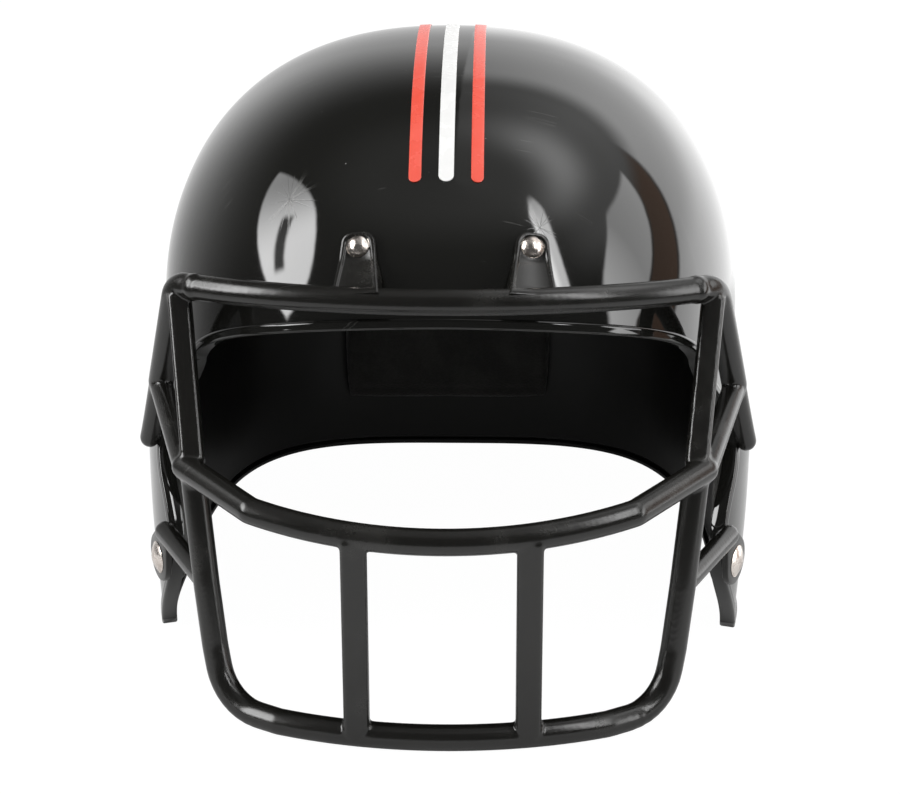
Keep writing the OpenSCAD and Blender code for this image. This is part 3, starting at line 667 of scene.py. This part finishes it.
def bars():
    """All the bars of the guard, overlapping, before they are run together."""
    bar, side_bar = round_profile(BAR_D), round_profile(BAR_D - 0.8)
    upright = soft_section(UPRIGHT_W, UPRIGHT_DEPTH + 1, 1.5)
    post = soft_section(POST_W, UPRIGHT_DEPTH + 1, 1.9)
    middle = [sweep(arc3(TOP_END, [0, -TOP_BAR_REACH, TOP_BAR_Z], 60), bar),
              sweep(arc3(MID_CORNER, [0, -MID_BAR_REACH, MID_BAR_Z], 60), bar),
              sweep(arc3(LOW_BOW, [0, -LOW_BAR_REACH, LOW_Z], 60), bar)]
    arm = densify(rounded([TOP_END, ELBOW, ARM_MID, ARM_END], [10, 30]))
    run = np.linspace(0, 1, len(arm))
    taper = 1 - 0.19 * smooth_step((run - 0.55) / 0.45)
    low = densify(rounded([LOW_BOW, LOW_CORNER, LOW_SIDE, LINK_END, LOW_TOP], [20, 30, 30]))
    set_back = POST_X ** 2 / (2 * LOWER_BOW_R) - 0.8
    post_top = [POST_X, set_back - MID_BAR_REACH, MID_BAR_Z]
    post_foot = [POST_X, set_back - LOW_BAR_REACH, LOW_Z + 1]
    half = [sweep(arm, bar, up=(1, 0, 0.2), scale=taper), ball(ARM_END, BAR_D * 0.815),
            ball(TOP_END, BAR_D + 0.9),
            sweep(densify([UPRIGHT_TOP, UPRIGHT_FOOT]), upright, up=(0, -1, 0)),
            sweep(densify([MID_CORNER, MID_SIDE]), bar), ball(MID_CORNER, BAR_D), ball(MID_SIDE, BAR_D),
            sweep(densify([MID_SIDE, ARM_MID]), side_bar), sweep(low, bar, up=(1, 0.3, 0.1)),
            ball(LOW_BOW, BAR_D),
            sweep(densify([post_top, post_foot]), post, up=(0, -1, 0)),
            sweep(densify([LINK_BALL, LINK_END]), round_profile(LINK_D)), ball(LINK_BALL, LINK_D)]
    return join(middle + half + [mirrored(h) for h in half])


def run_together(piece, voxel, passes):
    """Fuses overlapping bars into one skin with soft fillets. The turn keeps flat faces off the grid."""
    turn = Euler((0.6, 0.5, 0.35)).to_matrix().to_4x4()
    piece.data.transform(turn)
    fuse = piece.modifiers.new("fuse", "REMESH")
    fuse.mode, fuse.voxel_size, fuse.use_smooth_shade = "VOXEL", voxel, True
    ease = piece.modifiers.new("ease", "SMOOTH")
    ease.factor, ease.iterations = 0.5, passes
    done = bpy.data.meshes.new_from_object(piece.evaluated_get(bpy.context.evaluated_depsgraph_get()))
    piece.modifiers.clear()
    piece.data = done
    done.transform(turn.inverted())
    done.shade_smooth()
    return piece


def guard_piece():
    points, faces = bars()
    guard = new_piece("guard_bars", points, faces, "guard_black", ("face_guard",))
    outward(guard)
    run_together(guard, (0.62) * MM, 8)
    guard.data.materials.append(GUARD_BLACK)
    return guard


def brow_lug():
    """Wedge lug from the shell out to the top bar, with a raised border round its recess."""
    p, side, up, out = BROW_FRAME
    y = BROW_RIVET_X ** 2 / (2 * TOP_BOW_R)
    bar_at = np.array([BROW_RIVET_X, y - TOP_BAR_REACH, TOP_BAR_Z - y * TOP_BOW_DROP])

    def local(q):
        return np.array([up @ (q - p), out @ (q - p)])
    # The lug's face meets the bar on its upper front, and its underside runs to the bar's heart
    front = local(bar_at + np.array([0, -BAR_R * 0.78, BAR_R * 0.74]))
    heart = local(bar_at)
    bend, foot_bend, foot_run = -5, -13, 9
    head = BROW_LUG_HEAD_W / 2 - 1
    wide, narrow = BROW_LUG_W / 2, BROW_LUG_HEAD_W / 2

    twist = (BROW_RIVET_X / TOP_BOW_R * side[0] - side[1]) / out[1]

    def face_height(x, v):
        """Level over the rivet, then rising to the bar and turning to lie along it."""
        run = max(0, (bend - v) / (bend - front[0]))
        return LUG_T + (front[1] - LUG_T + twist * x) * run

    def outline(inset, foot, n=9):
        """Lug outline as (x, v) points: straight tapering sides and a rounded head."""
        w, h, top = wide - inset, narrow - inset, head - inset
        r = min(h, 4.2 - inset * 0.6)
        right = [(w + (h - w) * t, foot + (top - r - foot) * t) for t in np.linspace(0, 1, 12)]
        turn = [(h - r + r * math.cos(a), top - r + r * math.sin(a))
                for a in np.linspace(0, math.pi / 2, n)[1:]]
        across = [(x, top) for x in np.linspace(h - r, r - h, 4)[1:-1]]
        half = right + turn
        return half + across + [(-x, v) for x, v in reversed(half)]

    outer = outline(0, front[0])
    rings = [[(x, v, SEAT + (heart[1] - SEAT) * min(1, max(0, (foot_bend - v) / foot_run)))
              for x, v in outer]]
    # Rounded rim, flat border, and the step down to the recess, as insets and drops from the face
    for inset, drop in ((0, 0.8), (0.2, 0.25), (0.65, 0), (LUG_BORDER - 0.35, 0), (LUG_BORDER, 0.18),
                        (LUG_BORDER + 0.3, LUG_RECESS - 0.18), (LUG_BORDER + 0.7, LUG_RECESS)):
        foot = front[0] + inset + (0.9 if inset > 1 else 0)
        rings.append([(x, v, face_height(x, v) - drop) for x, v in outline(inset, foot)])
    n = len(outer)
    points = np.array([q for ring in rings for q in ring])
    # The foot is drawn towards the middle, so that the lug stands upright from the front
    points[:, 0] -= LUG_LEAN * np.clip((bend - points[:, 1]) / (bend - front[0]), 0, None)
    faces = [(i * n + k, i * n + (k + 1) % n, (i + 1) * n + (k + 1) % n, (i + 1) * n + k)
             for i in range(len(rings) - 1) for k in range(n)]
    last = (len(rings) - 1) * n
    half = n // 2
    faces += [(last + k, last + k + 1, last + n - 2 - k, last + n - 1 - k) for k in range(half - 1)]
    faces += [(k + 1, k, n - 1 - k, n - 2 - k) for k in range(half - 1)]
    return in_frame((points, faces), p, side, up, out)


def jaw_lug():
    """Plate over the flap's rim, from the rivet to the link's ball, with a boss under the rivet."""
    reach = math.hypot(*BALL_AT)
    heading = math.atan2(BALL_AT[1], BALL_AT[0])
    spread = math.acos((JAW_LUG_R - LINK_D / 2) / reach)
    far = [(BALL_AT[0] + LINK_D / 2 * math.cos(a), BALL_AT[1] + LINK_D / 2 * math.sin(a))
           for a in np.linspace(heading - spread, heading + spread, 12)]
    near = [(JAW_LUG_R * math.cos(a), JAW_LUG_R * math.sin(a))
            for a in np.linspace(heading + spread, heading - spread + 2 * math.pi, 40)]
    ring = np.array(far + near)
    centre = ring.mean(0)

    def layer(h, inset):
        v = ring - centre
        shrink = 1 - inset / np.linalg.norm(v, axis=1, keepdims=True)
        return np.column_stack([centre + v * shrink, np.full(len(ring), h)])
    top = LUG_BASE + JAW_LUG_T
    heights = [(LUG_BASE, 0.3), (LUG_BASE + 0.3, 0), (top - 0.6, 0), (top - 0.15, 0.2), (top, 0.65)]
    n = len(ring)
    points = np.concatenate([layer(h, i) for h, i in heights])
    faces = [(i * n + k, i * n + (k + 1) % n, (i + 1) * n + (k + 1) % n, (i + 1) * n + k)
             for i in range(len(heights) - 1) for k in range(n)]
    faces += [tuple(range(n - 1, -1, -1)), tuple((len(heights) - 1) * n + k for k in range(n))]
    boss_r = SHANK_D / 2 + 1.6
    boss = lathe([(boss_r - 0.1, SEAT), (boss_r, SEAT + 0.15), (boss_r, LUG_BASE + 0.5)], 40)
    return in_frame(join([(points, faces), boss]), *JAW_FRAME)


def lugs_piece():
    brow, jaw = brow_lug(), jaw_lug()
    points, faces = join([brow, mirrored(brow), jaw, mirrored(jaw)])
    lugs = outward(new_piece("guard_lugs", points, faces, "guard_black", crease=38))
    lugs.data.materials.append(GUARD_BLACK)
    return lugs


# Rivets
def rivet(z, head_d, head_h, under):
    """Domed head on its lug, shank through the wall, clinched end behind the washer."""
    r = head_d / 2
    dome_r = (r * r + head_h * head_h) / (2 * head_h)
    dome = [(math.sin(t) * dome_r, z + head_h - dome_r + math.cos(t) * dome_r)
            for t in np.linspace(math.asin((r - 0.12) / dome_r), 0.02, 18)]
    foot = -WALL - under - WASHER_T
    end = [(SHANK_D / 2 - 0.6, foot - 1.4), (SHANK_D / 2 + 0.3, foot - 1.35), (SHANK_D / 2 + 0.6, foot - 0.9),
           (SHANK_D / 2 + 0.8, foot - 0.15), (SHANK_D / 2 + 0.7, foot)]
    stem = [(SHANK_D / 2, foot + 0.02), (SHANK_D / 2, z)]
    rows = end + stem + [(r - 0.2, z), (r, z + 0.1), (r, z + 0.22)] + dome
    return lathe(rows, 72)


def washer(under, reach):
    """Flat ring round the shank with eased edges, its face under the wall's inner skin."""
    hole, rim, base = SHANK_D / 2 + 0.15, SHANK_D / 2 + reach, -WALL - under - WASHER_T
    rows = [(hole, base + 0.1), (hole + 0.1, base), (rim - 0.2, base), (rim, base + 0.2),
            (rim, base + WASHER_T - 0.15), (rim - 0.15, base + WASHER_T), (hole, base + WASHER_T)]
    n = 56
    a = np.linspace(0, 2 * math.pi, n, endpoint=False)
    points = np.concatenate([np.stack([r * np.cos(a), r * np.sin(a), np.full(n, h)], 1) for r, h in rows])
    m = len(rows)
    faces = [(i * n + k, i * n + (k + 1) % n, ((i + 1) % m) * n + (k + 1) % n, ((i + 1) % m) * n + k)
             for i in range(m) for k in range(n)]
    return points, faces


def both(part, place):
    put = in_frame(part, *place)
    return join([put, mirrored(put)])


def fasteners():
    brow_rivet = rivet(LUG_T - LUG_RECESS, BROW_HEAD_D, 2.4, BROW_UNDER)
    jaw_rivet = rivet(LUG_BASE + JAW_LUG_T, JAW_HEAD_D, 2.2, JAW_UNDER)
    brow_washer, jaw_washer = washer(BROW_UNDER, BROW_WASHER_RIM), washer(JAW_UNDER, JAW_WASHER_RIM)
    nickel_pair, steel_pair = ("rivet_nickel", RIVET_NICKEL), ("washer_steel", WASHER_STEEL)
    for name, node, part, place, (slot, finish) in (
            ("brow_rivet_pair", "brow_rivets", brow_rivet, BROW_FRAME, nickel_pair),
            ("jaw_rivet_pair", "jaw_rivets", jaw_rivet, JAW_FRAME, nickel_pair),
            ("brow_washer_pair", "brow_rivet_washers", brow_washer, BROW_FRAME, steel_pair),
            ("jaw_washer_pair", "jaw_rivet_washers", jaw_washer, JAW_FRAME, steel_pair)):
        piece = outward(new_piece(name, *both(part, place), slot, (node,), crease=40))
        piece.data.materials.append(finish)


# Pads
def pad(name, node, place, thick, corner=0.14, puff=0.3, mirror=False, seam=0.0):
    """Crowned foam pad. place(u, v, d) gives points for u, v in -1 to 1 at depth d behind the outside. corner
    draws the corners in. puff and seam are shares of the thickness: the edge's, and a groove's inside it."""
    n = 49
    t = np.linspace(-1, 1, n)
    # Closer rows near the edges
    t = np.sign(t) * (1 - (1 - np.abs(t)) ** 1.35)
    u, v = np.meshgrid(t, t, indexing="ij")
    tu, tv = u * (1 - corner * v ** 4), v * (1 - corner * u ** 4)
    back = WALL + PAD_GAP
    crown = puff + (1 - puff) * np.maximum(0, (1 - u ** 4) * (1 - v ** 4)) ** 0.4
    edge = np.maximum(np.abs(u), np.abs(v))
    crown = crown - seam * np.exp(-((edge - 0.86) / 0.03) ** 2)
    # The sides draw in a little between the corners
    waist = 1 - 0.015 * np.minimum(1, (1 - np.minimum(np.abs(u), np.abs(v))))
    layers = [place(tu, tv, np.full_like(u, back)), place(tu * waist, tv * waist, back + thick * crown)]
    points = np.concatenate([layer.reshape(-1, 3) for layer in layers])
    m = n * n

    def at(layer, i, j):
        return layer * m + i * n + j
    squares = [(i, j) for i in range(n - 1) for j in range(n - 1)]
    faces = [(at(0, i, j), at(0, i + 1, j), at(0, i + 1, j + 1), at(0, i, j + 1)) for i, j in squares]
    faces += [(at(1, i, j), at(1, i, j + 1), at(1, i + 1, j + 1), at(1, i + 1, j)) for i, j in squares]
    ring = [(i, 0) for i in range(n - 1)] + [(n - 1, j) for j in range(n - 1)] \
        + [(i, n - 1) for i in range(n - 1, 0, -1)] + [(0, j) for j in range(n - 1, 0, -1)]
    for (a, b), (c, d) in zip(ring, ring[1:] + ring[:1]):
        faces.append((at(0, c, d), at(0, a, b), at(1, a, b), at(1, c, d)))
    part = (points, faces)
    piece = outward(new_piece(name, *(mirrored(part) if mirror else part), "foam_dark", (node,), crease=60))
    piece.data.materials.append(FOAM_DARK)
    return piece


PAD_T, JAW_PAD_T = 10.0, 9.0
NAPE_X, NAPE_HALF_W, NAPE_Z, NAPE_H, NAPE_T = -4.0, 47.0, 24.0, 78.0, 11.0
BROW_PAD_HALF_TURN, BROW_PAD_Z, BROW_PAD_HALF_H = 34.0, 189.0, 9.0
CROWN_PAD_HALF_W, CROWN_PAD_BACK, CROWN_PAD_HALF_L = 48.0, 6.0, 52.0
SIDE_PAD_TURN, SIDE_PAD_HALF_TURN, SIDE_PAD_Z, SIDE_PAD_HALF_H = 4.0, 24.0, 128.0, 26.0
JAW_PAD_Y, JAW_PAD_HALF_W, JAW_PAD_TAPER, JAW_PAD_Z, JAW_PAD_HALF_H = -37.0, 20.0, 2.0, 46.0, 27.0


def nape_place(u, v, d):
    x, z = NAPE_X + u * NAPE_HALF_W, NAPE_Z + NAPE_H * (0.5 + v / 2)
    return np.stack([x, nape_y(x, z, d), z], -1)


def brow_place(u, v, d):
    side = np.stack([np.where(u < 0, -1.0, 1.0), np.ones_like(u), np.ones_like(u)], -1)
    turn = -90 + BROW_PAD_HALF_TURN * np.abs(u)
    return inward(turn, BROW_PAD_Z + BROW_PAD_HALF_H * v, d) * side


def crown_place(u, v, d):
    x, y = CROWN_PAD_HALF_W * u, SHELL_Y + CROWN_PAD_BACK + CROWN_PAD_HALF_L * v
    return np.stack([x, y, top_z(x, y) - d], -1)


def side_place(u, v, d):
    return inward(SIDE_PAD_TURN + SIDE_PAD_HALF_TURN * u, SIDE_PAD_Z + SIDE_PAD_HALF_H * v, d)


def jaw_place(u, v, d):
    z, y = JAW_PAD_Z + JAW_PAD_HALF_H * v, JAW_PAD_Y + (JAW_PAD_HALF_W - JAW_PAD_TAPER * v) * u
    return inward(angle_at(y, z), z, d)


def pads():
    pad("nape_cushion", "nape_pad", nape_place, NAPE_T, 0.04, 0.3, seam=0.07)
    pad("brow_cushion", "brow_pad", brow_place, PAD_T)
    pad("crown_cushion", "crown_pad", crown_place, PAD_T)
    for node, flip in (("left_side_pad", False), ("right_side_pad", True)):
        pad(node.replace("pad", "cushion"), node, side_place, PAD_T, mirror=flip)
    for node, flip in (("left_jaw_pad", False), ("right_jaw_pad", True)):
        pad(node.replace("pad", "cushion"), node, jaw_place, JAW_PAD_T, mirror=flip)


# Crest stripes
STRIPE_FRONT, STRIPE_BACK = -49.5, 74.0
# Creases of the vinyl: place along the stripe and width in degrees, with a sway across it
CREASES, CREASE_H = ((-27.0, 3.0, 0.5), (-24.6, -2.0, 0.35), (-20.5, 2.2, 0.6)), 0.22


def stripe(name, node, x, w, finish, slot):
    """Vinyl ribbon over the crown, round at both ends, with soft edges and a few creases near the top."""
    end = w / 2 / HALF_LENGTH * 70
    grow = np.radians(np.linspace(4, 86, 10))
    turns = np.concatenate([STRIPE_FRONT + end * (1 - np.cos(grow)),
                            np.linspace(STRIPE_FRONT + end, STRIPE_BACK - end, 160),
                            STRIPE_BACK - end * (1 - np.cos(grow[::-1]))])
    reach = np.minimum(turns - STRIPE_FRONT, STRIPE_BACK - turns) / end
    half = w / 2 * np.where(reach >= 1, 1, np.sqrt(np.maximum(0.0, 1 - (1 - reach) ** 2)))
    across = np.array([-1, -1, -0.97, -0.9, -0.5, 0, 0.5, 0.9, 0.97, 1, 1])
    height = np.array([0, 0.6, 0.9, 1, 1, 1, 1, 1, 0.9, 0.6, 0])
    px = x + half[:, None] * across[None]
    y = SHELL_Y + HALF_LENGTH * np.sin(np.radians(turns))[:, None] + 0 * px
    z = top_z(px, y)
    e = 0.3
    n = np.stack([top_z(px - e, y) - top_z(px + e, y), top_z(px, y - e) - top_z(px, y + e),
                  np.full_like(px, 2 * e)], -1)
    n /= np.linalg.norm(n, axis=-1, keepdims=True)
    crease = 0.0
    for centre, sway, wide in CREASES:
        past = turns[:, None] - centre - sway * across[None] * 0.4
        crease = crease + CREASE_H * np.exp(-(past / wide) ** 2)
    lift = STRIPE_SEAT * 0.35 + (STRIPE_T + STRIPE_SEAT * 0.2) * height[None] + crease * height[None]
    points = (np.stack([px, y, z], -1) + n * lift[..., None]).reshape(-1, 3)
    m, count = len(across), len(turns)
    faces = [(i * m + k, i * m + k + 1, (i + 1) * m + k + 1, (i + 1) * m + k)
             for i in range(count - 1) for k in range(m - 1)]
    faces += [((i + 1) * m, (i + 1) * m + m - 1, i * m + m - 1, i * m) for i in range(count - 1)]
    faces += [tuple(range(m - 1, -1, -1)), tuple((count - 1) * m + k for k in range(m))]
    piece = outward(new_piece(name, points, faces, slot, (node,), crease=60))
    piece.data.materials.append(finish)


def stripes():
    stripe("left_red_ribbon", "left_red_stripe", RED_X, RED_W, STRIPE_RED, "stripe_red")
    stripe("white_ribbon", "white_stripe", 0.0, WHITE_W, STRIPE_WHITE, "stripe_white")
    stripe("right_red_ribbon", "right_red_stripe", -RED_X, RED_W, STRIPE_RED, "stripe_red")


# Studio
def floor_piece():
    half = 3.0
    mesh = bpy.data.meshes.new("studio_floor")
    mesh.from_pydata([(x * half, y * half, 0) for x, y in ((-1, -1), (1, -1), (1, 1), (-1, 1))], [],
                     [(0, 1, 2, 3)])
    floor = bpy.data.objects.new("studio_floor", mesh)
    bpy.context.scene.collection.objects.link(floor)
    floor.data.materials.append(material("pale studio floor", pale_floor))


def pale_floor(f):
    """Pale floor that keeps the helmet's shadow. It is near white to the camera, and in mirrors a little way
    from the helmet. Further out it is open to mirrored rays, which then show the foot of the room's walls."""
    camera, glossy = f.rays()
    out = f.length(f.node("ShaderNodeTexCoord", out="Object"))
    matt = f.node("ShaderNodeBsdfDiffuse", None, {"Color": (0.9, 0.9, 0.9, 1)})
    glow = f.node("ShaderNodeEmission", None, {"Color": (1, 1, 1, 1), "Strength": 1.05})
    near = f.node("ShaderNodeMixShader", None,
                  {0: camera * 0.94 + glossy * (out.above(0.3, 0.12) * 0.82 + 0.08), 1: matt, 2: glow})
    return f.node("ShaderNodeMixShader", None,
                  {0: glossy * out.above(0.5, 0.08), 1: near, 2: f.node("ShaderNodeBsdfTransparent", None)})


def umbrella(side, rise):
    """Umbrella lamp, brighter towards the front, with the lamp's head as a dark core."""
    across, up = (side + 94) / 35, (rise - 22) / 29.5
    cover = (across * across + up * up).below(1.0, 0.06) * (rise + side * 0.575).above(-31.6, 1.0)
    out, high = side + 84.5, rise - 31
    core = (out * 0.74 + high * 0.67).size().below(2.9, 1.2) \
        * (out * 0.67 - high * 0.74).size().below(12.5, 2.0)
    return cover * (1 - core * 0.95) * ((side - rise * 0.4).above(-112, 22) * 10.0 + 3.2)


def brow_slit(x, y, z, side, rise):
    """Bright slit over the brow, bowed and narrowing towards its top."""
    bow = (58 - rise) / 31
    lean = x * -0.761 - y * 0.589 + z * 0.2714 - 0.07 + bow * bow * 0.07
    shape = (lean.size() + rise.above(67, 5) * 0.042).below(0.052, 0.012) * rise.above(20, 3) \
        * rise.below(69, 2) * side.above(20, 5) * side.below(100, 5)
    return shape * (lean.above(0.02, 0.03) * 9 + 11) * (1 - rise.above(61, 9) * 0.5)


def studio_world():
    """White where the camera looks past the helmet. Mirrored rays see a dim room: an umbrella lamp with its
    dark head on the left, and a window, a brown post, a pale wall and a bright slit on the right."""
    world = bpy.data.worlds.new("studio")
    bpy.context.scene.world = world
    world.use_nodes = True
    f = Finish(world.node_tree)
    parts = f.tree.nodes.new("ShaderNodeSeparateXYZ")
    f.tree.links.new(f.node("ShaderNodeTexCoord", out="Generated").socket, parts.inputs[0])
    x, y, z = (Flow(f, parts.outputs[i]) for i in range(3))
    # Degrees round from the camera's side towards the wearer's left, and degrees up
    side = f.math("ARCTAN2", x, y * -1.0) * (180 / math.pi)
    rise = f.math("ARCSINE", z) * (180 / math.pi)
    # Window between a curved left edge and a leaning right edge
    over = (rise - 14).at_least(0)
    in_left = (side - over * over * 0.0365).above(65.5, 1.5)
    right_edge = rise * 1.17 - side
    in_top = (rise + (side - 100).at_least(0) * 0.14).below(41.8, 1.2)
    window_shape = in_left * right_edge.above(-80.1, 1.5) * in_top
    window = window_shape * (7.6 - (side - 63) * 0.15).at_least(3.4)
    # Brown post, and the pale wall behind it
    wall_edge = side - rise * 0.86
    wall = wall_edge.above(109, 1.6) * rise.below(33, 5) \
        * (2.95 - (side - 125).at_least(0) * 0.031 - rise.above(8, 6) * 0.5)
    post = right_edge.below(-81.6, 1.5) * wall_edge.below(107.5, 1.5) * rise.below(33, 4) * side.above(80, 5)
    # Light on the ceiling, strongest over the right, and the dimmer left
    across, up = (side - 122) / 44, (rise - 61) / 8
    spread = (across * across + up * up) * -1.0
    ceiling = f.math("EXPONENT", spread) * 2.1 \
        + side.above(62, 24) * rise.above(30, 12) * rise.below(64, 12) * 0.7
    ceiling = ceiling * (1 - side.above(165, 18) * 0.6) * (1 - post) * (1 - window_shape)
    haze = rise.above(62, 14) * (side.above(20, 70) * 0.2 + 0.2) \
        + side.below(-125, 40) * rise.below(24, 20) * 0.8 + side.size().below(95, 50) * 0.05 + 0.05
    slit = brow_slit(x, y, z, side, rise)
    room = umbrella(side, rise) + window + slit + wall + post * 0.38 + ceiling + haze
    camera, glossy = f.rays()
    level = camera + glossy * room + (1 - camera) * (1 - glossy) * 0.55
    warm = f.tint(post * glossy, (1.0, 1.0, 1.0), (1.0, 0.62, 0.45))
    sky = f.node("ShaderNodeBackground", None, {"Color": warm, "Strength": level})
    f.node("ShaderNodeOutputWorld", None, {"Surface": sky})


def lamp(name, place, target, size, power):
    """Area lamp that lights but isn't mirrored, since the drawn room is."""
    light = bpy.data.lights.new(name, "AREA")
    light.shape, light.size, light.size_y, light.energy = "RECTANGLE", size[0], size[1], power
    holder = bpy.data.objects.new(name, light)
    holder.location = place
    holder.rotation_euler = (Vector(target) - Vector(place)).to_track_quat("-Z", "Y").to_euler()
    holder.visible_glossy = False
    bpy.context.scene.collection.objects.link(holder)


def lamps():
    target = (0, 0, 0.1)
    lamp("overhead", (0.0, 0.1, 1.9), target, (1.6, 1.6), 16)
    lamp("left_box", (-1.5, -0.5, 0.9), target, (0.6, 1.0), 12)
    lamp("right_window", (1.5, -0.3, 0.7), target, (0.8, 0.9), 8)


# The camera as it stood for the photograph, in millimetres and degrees
CAMERA_AIM, CAMERA_DISTANCE = (0.0, 15.0, 75.7), 1150.0
CAMERA_RISE, CAMERA_YAW = 19.3, -1.0
CAMERA_FOCAL, CAMERA_CENTRE_X = 2803.7, 450.7
PHOTO_W, SENSOR = 900, 36.0


def camera():
    rise, yaw = math.radians(CAMERA_RISE), math.radians(CAMERA_YAW)
    look = Vector((math.sin(yaw) * math.cos(rise), math.cos(yaw) * math.cos(rise), -math.sin(rise)))
    data = bpy.data.cameras.new("photo_camera")
    data.sensor_width, data.lens = SENSOR, CAMERA_FOCAL / PHOTO_W * SENSOR
    data.shift_x = (PHOTO_W / 2 - CAMERA_CENTRE_X) / PHOTO_W
    data.clip_start, data.clip_end = 0.05, 20
    holder = bpy.data.objects.new("photo_camera", data)
    holder.location = (Vector(CAMERA_AIM) - CAMERA_DISTANCE * look) * MM
    holder.rotation_euler = look.to_track_quat("-Z", "Y").to_euler()
    bpy.context.scene.collection.objects.link(holder)
    bpy.context.scene.camera = holder


shell_piece()
guard_piece()
lugs_piece()
fasteners()
pads()
stripes()
floor_piece()
studio_world()
lamps()
camera()
bpy.context.scene.view_settings.view_transform = "Standard"
